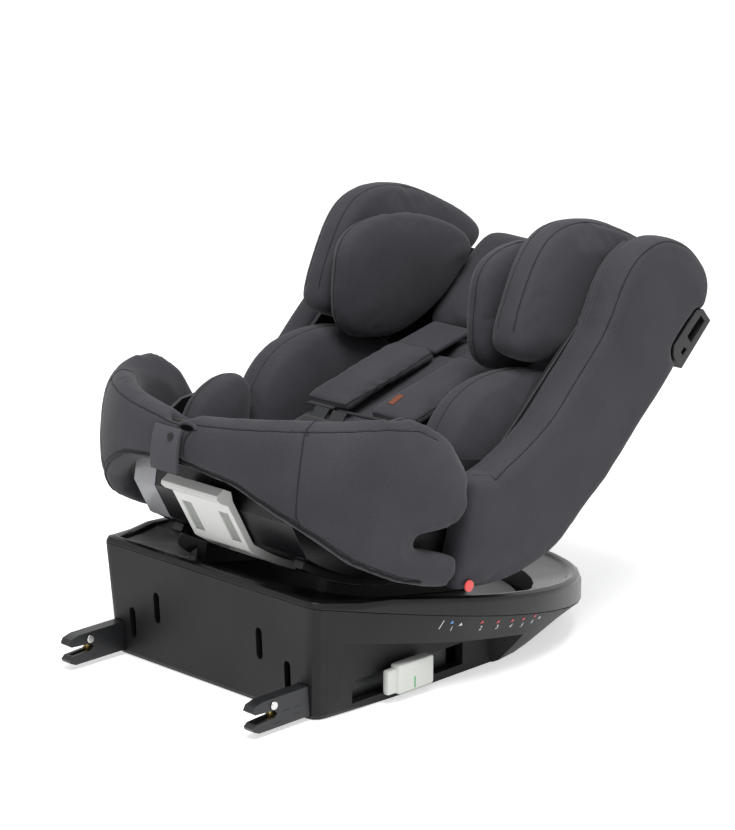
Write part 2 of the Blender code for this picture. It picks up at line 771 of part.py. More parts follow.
def make_release_button(name, side, stem_y, stem_z, slide, material):
    """Stepped button outside the pocket, with a stem through the slot into the arm."""
    press = Axis(f"release_press_{name}", (side * POCKET_HALF_WIDTH, stem_y, stem_z), slide)
    inner = POCKET_HALF_WIDTH + BUTTON_TRAVEL + ARM_CLEARANCE
    outer = inner + BUTTON_THICKNESS

    def body(x_low, x_high, y_low, y_high, z_low, z_high):
        xs = sorted((side * x_low, side * x_high))
        return block((xs[0], y_low, z_low), (xs[1], y_high, z_high), BUTTON_ROUND)

    step_y = BUTTON_REAR + BUTTON_STEP
    high = BUTTON_LOW + BUTTON_HEIGHT
    main = body(inner, outer, step_y, BUTTON_REAR + BUTTON_LENGTH, BUTTON_LOW, high)
    button = piece(f"release_button_{name}", main, material, press)
    tongue = body(
        inner + 1 * MM,
        outer - BUTTON_STEP_DROP,
        BUTTON_REAR,
        step_y + 2 * BUTTON_ROUND,
        BUTTON_LOW + 1 * MM,
        high - BUTTON_STEP_DROP,
    )
    stem_inner = ARM_SPACING / 2 + ARM_WIDTH / 2 - ARM_WIDTH + BUTTON_TRAVEL + ARM_CLEARANCE
    xs = sorted((side * stem_inner, side * (inner + BUTTON_ROUND)))
    stem = block(
        (xs[0], stem_y - STEM_LENGTH / 2, stem_z - STEM_HEIGHT / 2),
        (xs[1], stem_y + STEM_LENGTH / 2, stem_z + STEM_HEIGHT / 2),
    )
    cut(
        button,
        piece(f"button_step_{name}", tongue, material, press),
        piece(f"button_stem_{name}", stem, material, press),
        operation="UNION",
    )


def make_guide_rail(name, side, root, material):
    """Angle rail over each arm: a wall on its inner side and a roof, open to the outer slot."""
    inner = ARM_SPACING / 2 - ARM_WIDTH / 2 - ARM_CLEARANCE
    outer = ARM_SPACING / 2 + ARM_WIDTH / 2 + ARM_CLEARANCE
    roof = ARM_BOTTOM + ARM_HEIGHT + ARM_CLEARANCE
    section = [
        (inner - RAIL_WALL, BASE_WALL + GAP),
        (inner, BASE_WALL + GAP),
        (inner, roof),
        (outer, roof),
        (outer, roof + RAIL_WALL),
        (inner - RAIL_WALL, roof + RAIL_WALL),
    ]
    rear = -BASE_REAR + WALL_DRAFT + BASE_WALL + GAP
    rings = [[Vector((side * x, y, z)) for x, z in section] for y in (rear, RAIL_FRONT)]
    piece(f"guide_rail_{name}", skin(rings), material, root)


def make_turntable(deck, finishes):
    spin = Axis("turntable_axis", (0, 0, 0), deck)
    low = -BOWL_DEPTH + BEARING_HEIGHT + 2 * GAP
    high = low + TURNTABLE_THICKNESS
    hub_low = -BOWL_DEPTH - LID_WALL - GAP
    bore = PIVOT_BOLT_RADIUS + GAP
    edge = 2 * MM
    disc = turned(
        [
            (bore, hub_low),
            (HUB_RADIUS, hub_low),
            (HUB_RADIUS, low),
            (TURNTABLE_RADIUS - edge, low),
            (TURNTABLE_RADIUS, low + edge),
            (TURNTABLE_RADIUS, high - edge),
            (TURNTABLE_RADIUS - edge, high),
            (bore, high),
        ]
    )
    piece("turntable", disc, finishes["turntable"], spin)
    retainer_high = hub_low - GAP
    retainer_low = retainer_high - RETAINER_THICKNESS
    ring = turned(
        [
            (bore, retainer_low),
            (RETAINER_RADIUS, retainer_low),
            (RETAINER_RADIUS, retainer_high),
            (bore, retainer_high),
        ]
    )
    piece("turntable_retainer", ring, finishes["steel"], spin)
    top, foot = high + GAP, retainer_low - GAP
    levels = [
        (foot - PIVOT_HEAD, PIVOT_HEAD_RADIUS - 2 * MM),
        (foot - PIVOT_HEAD + 2 * MM, PIVOT_HEAD_RADIUS),
        (foot, PIVOT_HEAD_RADIUS),
        (foot, PIVOT_BOLT_RADIUS),
        (top, PIVOT_BOLT_RADIUS),
        (top, PIVOT_HEAD_RADIUS),
        (top + 2 * MM, PIVOT_HEAD_RADIUS - 1 * MM),
    ]
    rings = []
    for height, radius in levels:
        steps = [math.pi / 12 * step for step in range(24)]
        rings.append([Vector((radius * math.cos(a), radius * math.sin(a), height)) for a in steps])
    piece("turntable_pivot_bolt", skin(rings), finishes["steel"], spin)
    for name, side in SIDES:
        arc = recline_arc(KEEL_RADIUS + RUNNER_DEPTH + 3 * GAP, TRACK_FROM, TRACK_TO, 12)
        outline = arc + [(arc[-1][0], high + GAP), (arc[0][0], high + GAP)]
        xs = sorted((side * RUNNER_INNER, side * (RUNNER_INNER + RUNNER_WIDTH)))
        piece(f"recline_track_{name}", plate(outline, *xs), finishes["track"], spin)
    return spin


def recline_arc(radius, start, end, steps):
    """(y, z) points of an arc about the recline axis. Angle 0 is straight under it."""
    arc = []
    for step in range(steps + 1):
        angle = between(start, end, step / steps)
        arc.append((RECLINE_Y + radius * math.sin(angle), RECLINE_Z - radius * math.cos(angle)))
    return arc


def back_point(x, along, out):
    """Point on the back: along its slope from the foot, and out towards the child."""
    foot = Vector((x, BACK_FOOT_Y, BACK_FOOT_Z))
    return foot + BACK_DIRECTION * along + BACK_NORMAL * out


def shell_path():
    """(y, z) points of the shell's outer face from the front lip, under the seat and up the back."""
    lip = APRON_FRONT + SHELL_SETBACK
    path = [(lip, 119 * MM), (lip + SHELL_LIP, 93 * MM)]
    seat = [(-178, 58), (-115, 34), (-45, 24), (25, 30), (72, 54)]
    path += [(y * MM, z * MM) for y, z in seat]
    for share in (0.05, 0.2, 0.4, 0.6, 0.8, 1.0):
        point = back_point(0, share * BACK_TOP, BACK_SKIN)
        path.append((point.y, point.z))
    return path


def inner_half_width(y):
    """Half of the room inside the covers. It narrows round the front."""
    straight = SHELL_HALF_WIDTH
    if y >= APRON_CENTRE:
        return straight
    room = SEAT_HALF_WIDTH - APRON_THICKNESS - COVER_CLEARANCE
    reach = APRON_REACH - APRON_THICKNESS - COVER_CLEARANCE
    share = min((APRON_CENTRE - y) / reach, 0.999)
    return min(straight, room * (1 - share**APRON_POWER) ** (1 / APRON_POWER))


SHELL_LIP_RIMS = (22, 46)
SHELL_RIMS = ((-178, 92), (-115, 116), (-45, 112), (25, 108), (72, 112), (220, 114), (296, 92))


def make_shell(recline, material):
    """Bucket shell: a U section carried from the front lip, under the seat and up the back."""
    path = shell_path()
    rims = [(y, height * MM) for (y, z), height in zip(path, SHELL_LIP_RIMS)]
    rims += [(y * MM, height * MM) for y, height in SHELL_RIMS]
    rings = []
    for i, (y, z) in enumerate(path):
        before, after = path[max(i - 1, 0)], path[min(i + 1, len(path) - 1)]
        along = Vector((0, after[0] - before[0], after[1] - before[1])).normalized()
        inward = Vector((1, 0, 0)).cross(along)
        half = inner_half_width(y)
        rim = lookup(rims, y)
        corner = min(SHELL_CORNER, rim * 0.6)
        section = u_section(half, rim, corner, SHELL_WALL)
        rings.append([Vector((x, y, z)) + inward * height for x, height in section])
    return piece("seat_shell", skin(rings), material, recline)


def u_section(half, rim, corner, wall):
    """Closed U outline as (x, height) points: outside first, then back along the inside."""
    cut_off = corner * (1 - math.sqrt(0.5))

    def right(offset):
        side = half - offset
        radius = corner - offset
        drop = cut_off * radius / corner
        return [(side, rim), (side, corner), (side - drop, offset + drop), (side - radius, offset)]

    outside = right(0)
    inside = right(wall)
    outline = outside + [(-x, height) for x, height in reversed(outside)]
    return outline + inside_mirror(inside)


def inside_mirror(inside):
    return [(-x, height) for x, height in inside] + list(reversed(inside))


def keel_chamfer():
    """Lower and upper end, as (y, z), of the slope under the keel's nose, and the way into the keel."""
    low = Vector(recline_arc(KEEL_RADIUS, KEEL_CHAMFER, KEEL_CHAMFER, 1)[0])
    nose_y = recline_arc(KEEL_RADIUS, KEEL_NOSE, KEEL_NOSE, 1)[0][0] + 1 * MM
    high = Vector((nose_y, low.y + KEEL_NOSE_RISE))
    slope = (high - low).normalized()
    return low, high, Vector((slope.y, -slope.x))


def make_keel(recline, finishes):
    """Curved hull under the shell, hollow from above, with a runner on each side and lugs for the lever."""
    arc = recline_arc(KEEL_RADIUS, KEEL_CHAMFER, 23 * DEGREE, 14)
    low, high, inward = keel_chamfer()
    under = [(y, z - 2 * MM) for y, z in shell_path() if high.x - 1 * MM < y < arc[-1][0]]
    front = (high.x, lookup(sorted(shell_path()), high.x) - 3 * MM)
    rear = (arc[-1][0], lookup(sorted(shell_path()), arc[-1][0]) - 6 * MM)
    outline = arc + [rear] + list(reversed(under)) + [front, tuple(high)]
    keel = piece("keel", plate(outline, -KEEL_HALF_WIDTH, KEEL_HALF_WIDTH), finishes["keel"], recline)
    inner = KEEL_HALF_WIDTH - KEEL_WALL
    floor = recline_arc(KEEL_RADIUS - KEEL_WALL, KEEL_CHAMFER + 2 * DEGREE, 19 * DEGREE, 10)
    nose_low, nose_high = low + inward * 1.6 * KEEL_WALL, high + inward * 1.6 * KEEL_WALL
    hollow = floor + [(floor[-1][0], 120 * MM), (nose_high.x, 120 * MM), tuple(nose_high), tuple(nose_low)]
    cutter = piece("keel_hollow_cutter", plate(hollow, -inner, inner), finishes["keel"], recline)
    lever_inner = KEEL_RADIUS + LEVER_CLEARANCE
    pin_radius = lever_inner + LEVER_THICKNESS / 2
    for name, side in SIDES:
        root_half, tip_half = 1.4 * DEGREE, 1 * DEGREE
        root = KEEL_RADIUS - KEEL_WALL / 2
        tip = lever_inner + LEVER_THICKNESS
        lug_outline = recline_arc(root, LEVER_HINGE - root_half, LEVER_HINGE + root_half, 1)
        lug_outline += recline_arc(tip, LEVER_HINGE + tip_half, LEVER_HINGE - tip_half, 2)
        near = LEVER_HALF_WIDTH + GAP
        xs = sorted((side * near, side * (near + LEVER_LUG_WIDTH)))
        lug = piece(f"lever_lug_{name}", plate(lug_outline, *xs), finishes["keel"], recline)
        cut(keel, lug, operation="UNION")
        runner = recline_arc(KEEL_RADIUS + GAP, RUNNER_FROM, RUNNER_TO, 14)
        runner += recline_arc(KEEL_RADIUS + RUNNER_DEPTH, RUNNER_TO, RUNNER_FROM, 14)
        xs = sorted((side * RUNNER_INNER, side * (RUNNER_INNER + RUNNER_WIDTH)))
        piece(f"recline_runner_{name}", plate(runner, *xs), finishes["track"], recline)
    pin_y, pin_z = recline_arc(pin_radius, LEVER_HINGE, LEVER_HINGE, 1)[0]
    reach = LEVER_HALF_WIDTH + GAP + LEVER_LUG_WIDTH
    bore_radius = LEVER_PIN_RADIUS + LEVER_PIN_CLEARANCE
    bore = rod((-reach - GAP, pin_y, pin_z), (reach + GAP, pin_y, pin_z), bore_radius)
    cut(keel, cutter, piece("lug_bore_cutter", bore, finishes["keel"], recline))
    pin = rod((-reach, pin_y, pin_z), (reach, pin_y, pin_z), LEVER_PIN_RADIUS, 14)
    piece("lever_pin", pin, finishes["steel"], recline)
    make_lever(Vector((0, pin_y, pin_z)), recline, finishes["lever"])


# Lip of the lever, from the top of its panel's face
LEVER_LIP = ((2, 15), (-9, 18), (-17, 11), (-17, 7), (-11, 3))


def make_lever(pin, recline, material):
    """Pull lever along the keel's front: a lip, a panel with two recesses, a window and legs to the pin."""
    hinge = Axis("recline_lever_axis", pin, recline)
    inner = KEEL_RADIUS + LEVER_CLEARANCE
    outer = inner + LEVER_THICKNESS
    low, high, inward = keel_chamfer()
    slope = (high - low).normalized()

    def panel(along, depth):
        """Point of the panel: along it from the bend, and how far out from the keel's slope."""
        return tuple(low + slope * along - inward * (LEVER_CLEARANCE + depth))

    face = recline_arc(outer, KEEL_CHAMFER, LEVER_HINGE + 0.6 * DEGREE, 6)
    back = recline_arc(inner, LEVER_HINGE + 0.6 * DEGREE, KEEL_CHAMFER, 6)
    top = panel(LEVER_PANEL, LEVER_THICKNESS)
    lip = [(top[0] + y * MM, top[1] + z * MM) for y, z in LEVER_LIP]
    outline = lip + [top] + face + back + [panel(LEVER_PANEL, 0)]
    lever = piece("recline_lever", plate(outline, -LEVER_HALF_WIDTH, LEVER_HALF_WIDTH), material, hinge)
    window = recline_arc(inner - 8 * MM, LEVER_WINDOW_FROM, LEVER_WINDOW_TO, 3)
    window += recline_arc(outer + 8 * MM, LEVER_WINDOW_TO, LEVER_WINDOW_FROM, 3)
    legs = recline_arc(inner - 8 * MM, LEVER_HINGE - 2.6 * DEGREE, LEVER_HINGE + 4 * DEGREE, 3)
    legs += recline_arc(outer + 8 * MM, LEVER_HINGE + 4 * DEGREE, LEVER_HINGE - 2.6 * DEGREE, 3)
    recess = [
        panel(LEVER_RECESS_FROM, LEVER_THICKNESS - LEVER_RECESS_DEPTH),
        panel(LEVER_RECESS_TO, LEVER_THICKNESS - LEVER_RECESS_DEPTH),
        panel(LEVER_RECESS_TO, 2 * LEVER_THICKNESS),
        panel(LEVER_RECESS_FROM, 2 * LEVER_THICKNESS),
    ]
    recesses = []
    for name, side in SIDES:
        xs = sorted((side * LEVER_RIB_HALF_WIDTH, side * LEVER_RECESS_HALF_WIDTH))
        form = plate(recess, *xs)
        bmesh.ops.recalc_face_normals(form, faces=form.faces)
        recesses.append(piece(f"lever_recess_cutter_{name}", form, material, hinge))
    across = Vector((2 * LEVER_HALF_WIDTH, 0, 0))
    half = LEVER_WINDOW_HALF_WIDTH
    cut(
        lever,
        piece("lever_window_cutter", plate(window, -half, half), material, hinge),
        piece("lever_leg_cutter", plate(legs, -half, half), material, hinge),
        *recesses,
        piece(
            "lever_bore_cutter",
            rod(pin - across, pin + across, LEVER_PIN_RADIUS + LEVER_PIN_CLEARANCE),
            material,
            hinge,
        ),
    )


SIDE_COVER_OUTLINE = (
    (-70, 60),
    (-66, 118),
    (-40, 127),
    (-4, 148),
    (36, 181),
    (66, 222),
    (104, 275),
    (124, 327),
    (146, 358),
    (182, 376),
    (226, 371),
    (258, 352),
    (275, 328),
    (272, 296),
    (252, 254),
    (186, 169),
    (146, 117),
    (112, 83),
    (80, 48),
    (50, 28),
    (20, 14),
    (-10, 7),
    (-40, 5),
    (-66, 6),
)


def side_cover_x(x, z):
    """The cover's outer half rolls under towards its lower hem."""
    low = min(max(1 - z / SIDE_COVER_TUCK_HEIGHT, 0), 1)
    outer_share = (x - SEAT_HALF_WIDTH + SIDE_COVER_THICKNESS) / SIDE_COVER_THICKNESS
    return x - SIDE_COVER_TUCK * low * low * outer_share


def make_side_cover(name, side, recline, finishes):
    """Padded side and wing cover, with a seat for the belt guide in its rear edge."""
    inner = SEAT_HALF_WIDTH - SIDE_COVER_THICKNESS
    outline = flow([(y * MM, z * MM) for y, z in SIDE_COVER_OUTLINE], 2)

    def place(y, z, x):
        return Vector((x, y, z))

    def tuck(point):
        return Vector((side * side_cover_x(point.x, point.z), point.y, point.z))

    form = pillow(outline, inner, SEAT_HALF_WIDTH, place, SIDE_COVER_EDGE / 2)
    form = bent(form, 2, (20 * MM, 40 * MM, SIDE_COVER_TUCK_HEIGHT), tuck)
    bmesh.ops.recalc_face_normals(form, faces=form.faces)
    cover = piece(f"side_cover_{name}", form, finishes["cover"], recline)
    seat_along = GUIDE_ALONG_BACK
    room = guide_form(side, seat_along, GAP * 2, inner)
    cut(cover, piece(f"guide_seat_cutter_{name}", room, finishes["cover"], recline))
    make_belt_guide(name, side, recline, finishes["guide"])
    make_marker(name, side, recline, finishes["marker"])


def guide_form(side, along, clearance, inner=None):
    """Block at the back's rear edge that the belt guide fills, or its larger seat."""
    half = GUIDE_LENGTH / 2 + clearance
    depth = GUIDE_WIDTH + clearance
    outer_x = SEAT_HALF_WIDTH + (40 * MM if inner else 0)
    inner_x = SEAT_HALF_WIDTH - GUIDE_THICKNESS - clearance
    rear = -30 * MM if inner else -6 * MM
    low, high = sorted((side * inner_x, side * outer_x))
    rings = []
    for x in (low, high):
        chamfer = 8 * MM
        corners = [(-half, rear), (half, rear + 2 * MM), (half, depth - chamfer)]
        corners += [(half - chamfer, depth), (-half + chamfer, depth), (-half, depth - chamfer)]
        rings.append([back_point(x, along + a, n) for a, n in corners])
    return skin(rings)


def make_belt_guide(name, side, recline, material):
    """Moulded guide with a long belt slot and a small square hole."""
    guide = piece(f"belt_guide_{name}", guide_form(side, GUIDE_ALONG_BACK, 0), material, recline)
    cutters = []
    for label, start, length in (("slot", -4 * MM, GUIDE_SLOT_LENGTH), ("hole", -22 * MM, 8 * MM)):
        xs = (side * (SEAT_HALF_WIDTH - 40 * MM), side * (SEAT_HALF_WIDTH + 40 * MM))
        width = GUIDE_SLOT_WIDTH if label == "slot" else 6 * MM
        near, far = 3 * MM, 3 * MM + width
        corners = ((start, near), (start + length, near), (start + length, far), (start, far))
        rings = [[back_point(x, GUIDE_ALONG_BACK + a, n) for a, n in corners] for x in sorted(xs)]
        cutters.append(piece(f"guide_{label}_cutter_{name}", skin(rings), material, recline))
    cut(guide, *cutters)


def make_marker(name, side, recline, material):
    """Round recline marker low on the side cover."""
    outer = side_cover_x(SEAT_HALF_WIDTH, MARKER_Z + MARKER_RADIUS) + 3 * GAP
    levels = [
        (0.0, MARKER_RADIUS),
        (MARKER_THICKNESS * 0.6, MARKER_RADIUS),
        (MARKER_THICKNESS, MARKER_RADIUS * 0.6),
    ]
    middle = Vector((side * outer, MARKER_Y, MARKER_Z))
    form = spindle(middle, [(side * offset, radius) for offset, radius in levels])
    piece(f"recline_marker_{name}", form, material, recline)


APRON_TOP = ((0, 156), (20, 165), (40, 177), (58, 186), (68, 186), (73, 179), (80, 166), (84, 154), (87, 136))
APRON_HEM = ((0, 104), (21, 93), (40, 58), (54, 28), (68, 12), (81, 6), (88, 6))


BELT_NOTCH = (
    (-140, 59),
    (-130, 69),
    (-111, 72),
    (-91, 77),
    (-81, 86),
    (-73, 98),
    (-60, 112),
    (-60, 41),
    (-72, 41),
    (-100, 45),
    (-131, 51),
)


def make_front_cover(recline, material):
    """Padded apron round the front: one wall on a round U plan, with a belt notch at each rear corner."""
    rear_share = (APRON_CENTRE - APRON_REAR) / APRON_REACH
    start = math.asin(rear_share ** (APRON_POWER / 2))
    stations = 34
    rings = []
    for i in range(stations + 1):
        angle = between(start, math.pi - start, i / stations)
        quarter = min(angle, math.pi - angle)
        x, reach = super_arc(SEAT_HALF_WIDTH, APRON_REACH, APRON_POWER, quarter)
        side = 1 if angle <= math.pi / 2 else -1
        outer = Vector((side * x, APRON_CENTRE - reach, 0))
        inner_x, inner_reach = super_arc(
            SEAT_HALF_WIDTH - APRON_THICKNESS, APRON_REACH - APRON_THICKNESS, APRON_POWER, quarter
        )
        inner = Vector((side * inner_x, APRON_CENTRE - max(inner_reach, APRON_CENTRE - APRON_REAR), 0))
        heading = math.atan2(x, reach) / DEGREE
        top = lookup(APRON_TOP, heading) * MM
        hem = lookup(APRON_HEM, heading) * MM
        rings.append(apron_section(outer, inner, hem, top))
    cover = piece("front_cover", skin(rings), material, recline)
    cutters = []
    for name, side in SIDES:
        outline = [(y * MM, z * MM) for y, z in BELT_NOTCH]
        xs = sorted((side * (SEAT_HALF_WIDTH - 2 * APRON_THICKNESS), side * (SEAT_HALF_WIDTH + 20 * MM)))
        cutters.append(piece(f"belt_notch_cutter_{name}", plate(outline, *xs), material, recline))
    half, depth = ADJUSTER_HALF_WIDTH + GAP * 2, ADJUSTER_DEPTH / 2 + GAP * 2
    middle = adjuster_middle()
    slot = block((-half, middle - depth, ADJUSTER_SEAT_Z), (half, middle + depth, 240 * MM))
    cutters.append(piece("adjuster_slot_cutter", slot, material, recline))
    cut(cover, *cutters)


def adjuster_middle():
    return APRON_CENTRE - APRON_REACH + APRON_THICKNESS / 2


def apron_section(outer, inner, hem, top):
    """Closed section of the apron: drawn-in hem, swelling outer face and a round top."""
    height = top - hem
    shape = (
        (0.78, 0.0),
        (0.36, 0.03),
        (0.15, 0.14),
        (0.03, 0.38),
        (0.0, 0.62),
        (0.03, 0.78),
        (0.14, 0.9),
        (0.42, 1.0),
        (0.72, 0.96),
        (0.95, 0.82),
        (1.0, 0.5),
        (1.0, 0.08),
    )
    ring = []
    for share, rise in shape:
        point = outer.lerp(inner, share)
        ring.append(Vector((point.x, point.y, hem + height * rise)))
    return ring


def make_adjuster(recline, finishes):
    """Harness adjuster in the front edge: a fixed housing, a push button over it and the pull strap."""
    middle = adjuster_middle()
    half, depth = ADJUSTER_HALF_WIDTH, ADJUSTER_DEPTH / 2
    low = ADJUSTER_SEAT_Z + GAP
    high = low + ADJUSTER_HOUSING_HEIGHT
    stem = Vector((5 * MM, 3 * MM, 0))
    housing = piece(
        "adjuster_housing",
        block((-half, middle - depth, low), (half, middle + depth, high)),
        finishes["guide"],
        recline,
    )
    reach = stem + Vector((STEM_CLEARANCE, STEM_CLEARANCE, 0))
    at = Vector((0, middle, 0))
    hole = block(at - reach + Vector((0, 0, low + 1.5 * MM)), at + reach + Vector((0, 0, high + 5 * MM)))
    cut(housing, piece("adjuster_hole_cutter", hole, finishes["guide"], recline))
    press = Axis("adjuster_press", (0, middle, high), recline)
    button_low = high + ADJUSTER_TRAVEL + GAP
    button_form = block(
        (-half + 1 * MM, middle - depth + 0.5 * MM, button_low),
        (half - 1 * MM, middle + depth - 0.5 * MM, button_low + ADJUSTER_BUTTON_HEIGHT),
        1.5 * MM,
        1,
    )
    button = piece("adjuster_button", button_form, finishes["buckle"], press)
    stem_low = low + 1.5 * MM + ADJUSTER_TRAVEL + GAP
    stem_form = block(at - stem + Vector((0, 0, stem_low)), at + stem + Vector((0, 0, button_low + 3 * MM)))
    cut(button, piece("adjuster_stem", stem_form, finishes["buckle"], press), operation="UNION")
    front = APRON_CENTRE - APRON_REACH - 3 * MM
    fold = [(142, 0), (132, -2.5), (116, -3), (102, -1), (97, 0.5)]
    route = [(front + out * MM, z * MM) for z, out in fold]
    strap = ribbon(route, WEBBING_WIDTH, 2 * WEBBING_THICKNESS, lambda share: 0)
    piece("adjuster_strap", strap, finishes["webbing"], recline)


TORSO_BOLSTER = (
    (-42, 78),
    (-57, 130),
    (-46, 170),
    (-16, 202),
    (35, 220),
    (88, 222),
    (130, 214),
    (152, 196),
    (132, 160),
    (90, 108),
    (22, 74),
)
HIP_BOLSTER = (
    (-146, 92),
    (-152, 124),
    (-132, 156),
    (-96, 173),
    (-68, 160),
    (-64, 112),
    (-70, 80),
    (-110, 78),
)


def hip_bolster_inner():
    """Inner face of the hip bolsters, which stand against the shell where it narrows to the front."""
    room = inner_half_width(APRON_FRONT + HIP_BOLSTER_SETBACK) - SHELL_WALL - BOLSTER_SIDE_CLEARANCE
    return room - HIP_BOLSTER_THICKNESS


def cushion_room():
    """Half of the width that the bolsters leave for the cushions between them."""
    return min(BOLSTER_INNER, hip_bolster_inner()) - CUSHION_CROWN - CUSHION_CLEARANCE


def make_cushions(recline, fabric):
    for name, side in SIDES:

        def across(y, z, x, side=side):
            return Vector((side * x, y, z))

        for label, outline, low, high in (
            ("torso_bolster", TORSO_BOLSTER, BOLSTER_INNER, PADDED_HALF_WIDTH),
            ("hip_bolster", HIP_BOLSTER, hip_bolster_inner(), hip_bolster_inner() + HIP_BOLSTER_THICKNESS),
        ):
            curve = flow([(y * MM, z * MM) for y, z in outline], 2)
            form = pillow(curve, low, high, across, BOLSTER_EDGE, CUSHION_CROWN, 0)
            piece(f"{label}_{name}", form, fabric, recline)
    make_seat_cushion(recline, fabric)
    make_back_cushion(recline, fabric)
    make_infant_insert(recline, fabric)


def make_seat_cushion(recline, fabric):
    """Seat cushion on the shell's floor, round at the front like the apron."""
    path = sorted(shell_path())
    front, rear = APRON_FRONT + SEAT_CUSHION_SETBACK, 62 * MM
    right = []
    for step in range(9):
        y = between(rear, front, step / 8)
        room = inner_half_width(y - 25 * MM) - SHELL_WALL - 0.5 * SHELL_CORNER - CUSHION_CLEARANCE
        right.append((min(room, cushion_room()), y))
    outline = right + [(-x, y) for x, y in reversed(right)]

    def flat(x, y, height):
        return Vector((x, y, height))

    def lay(point):
        return Vector((point.x, point.y, point.z + lookup(path, point.y) + CUSHION_FLOOR))

    form = pillow(outline, 0, SEAT_CUSHION_THICKNESS, flat, CUSHION_EDGE, 0, CUSHION_CROWN)
    piece("seat_cushion", bent(form, 1, [y for y, z in path], lay), fabric, recline)


def make_back_cushion(recline, fabric):
    half = cushion_room()
    low, high = 42 * MM, HEADREST_PLATE_LOW - CUSHION_CLEARANCE
    corners = [(-half, low), (half, low), (half, high), (-half, high)]
    outline = rounded(corners, 34 * MM)
    base = BACK_SKIN + SHELL_WALL + CUSHION_CLEARANCE
    form = pillow(outline, base, base + BACK_CUSHION_THICKNESS, back_point, CUSHION_EDGE, 0, CUSHION_CROWN)
    piece("back_cushion", form, fabric, recline)


def rounded(corners, radius, steps=3):
    """Closed outline with each corner of a polygon turned to an arc-like curve."""
    outline = []
    count = len(corners)
    for i in range(count):
        at = Vector(corners[i])
        start = at + (Vector(corners[i - 1]) - at).normalized() * radius
        end = at + (Vector(corners[(i + 1) % count]) - at).normalized() * radius
        for step in range(steps + 1):
            t = step / steps
            outline.append(tuple(start * (1 - t) ** 2 + at * 2 * t * (1 - t) + end * t * t))
    return outline


def make_infant_insert(recline, fabric):
    """Thick body support that fills the seat's corner."""
    half = cushion_room() - 4 * MM
    front = [(-62, 84), (-64, 108), (-20, 132), (40, 158), (95, 190), (132, 212)]
    profile = front + [(138, 203), (88, 142), (56, 106), (14, 84)]
    curve = flow([(y * MM, z * MM) for y, z in profile], 2)

    def across(y, z, x):
        return Vector((x, y, z))

    form = pillow(curve, -half, half, across, 8 * MM)
    piece("infant_insert", form, fabric, recline)


def make_harness(recline, finishes):
    """Shoulder pads, webbing, buckle and tongues of the harness."""
    foot = Vector((0, -28 * MM, 151 * MM))
    head = Vector((0, 94 * MM, 206 * MM))
    along = (head - foot).normalized()
    rise = Vector((1, 0, 0)).cross(along)
    for name, side in SIDES:
        corners = [
            (PAD_INNER, 0),
            (PAD_INNER + PAD_WIDTH, 0),
            (PAD_INNER + PAD_WIDTH, PAD_LENGTH),
            (PAD_INNER, PAD_LENGTH),
        ]

        def place(u, v, w, side=side):
            return Vector((side * u, 0, 0)) + foot + along * v + rise * w

        form = pillow(rounded(corners, 12 * MM), -PAD_THICKNESS / 2, PAD_THICKNESS / 2, place, 5 * MM)
        piece(f"shoulder_pad_{name}", form, finishes["cover"], recline)
        middle = side * (PAD_INNER + PAD_WIDTH / 2)
        start = foot + along * (PAD_LENGTH + GAP)
        cushion_face = BACK_SKIN + SHELL_WALL + BACK_CUSHION_THICKNESS + CUSHION_CROWN
        end = back_point(0, HEADREST_PLATE_LOW, cushion_face + 3 * CUSHION_CLEARANCE)
        route = [(between(start.y, end.y, t), between(start.z, end.z, t)) for t in (0, 0.5, 1)]
        strap = ribbon(route, WEBBING_WIDTH, WEBBING_THICKNESS, lambda share, middle=middle: middle)
        piece(f"shoulder_strap_{name}", strap, finishes["webbing"], recline)
    make_buckle(recline, finishes, foot)


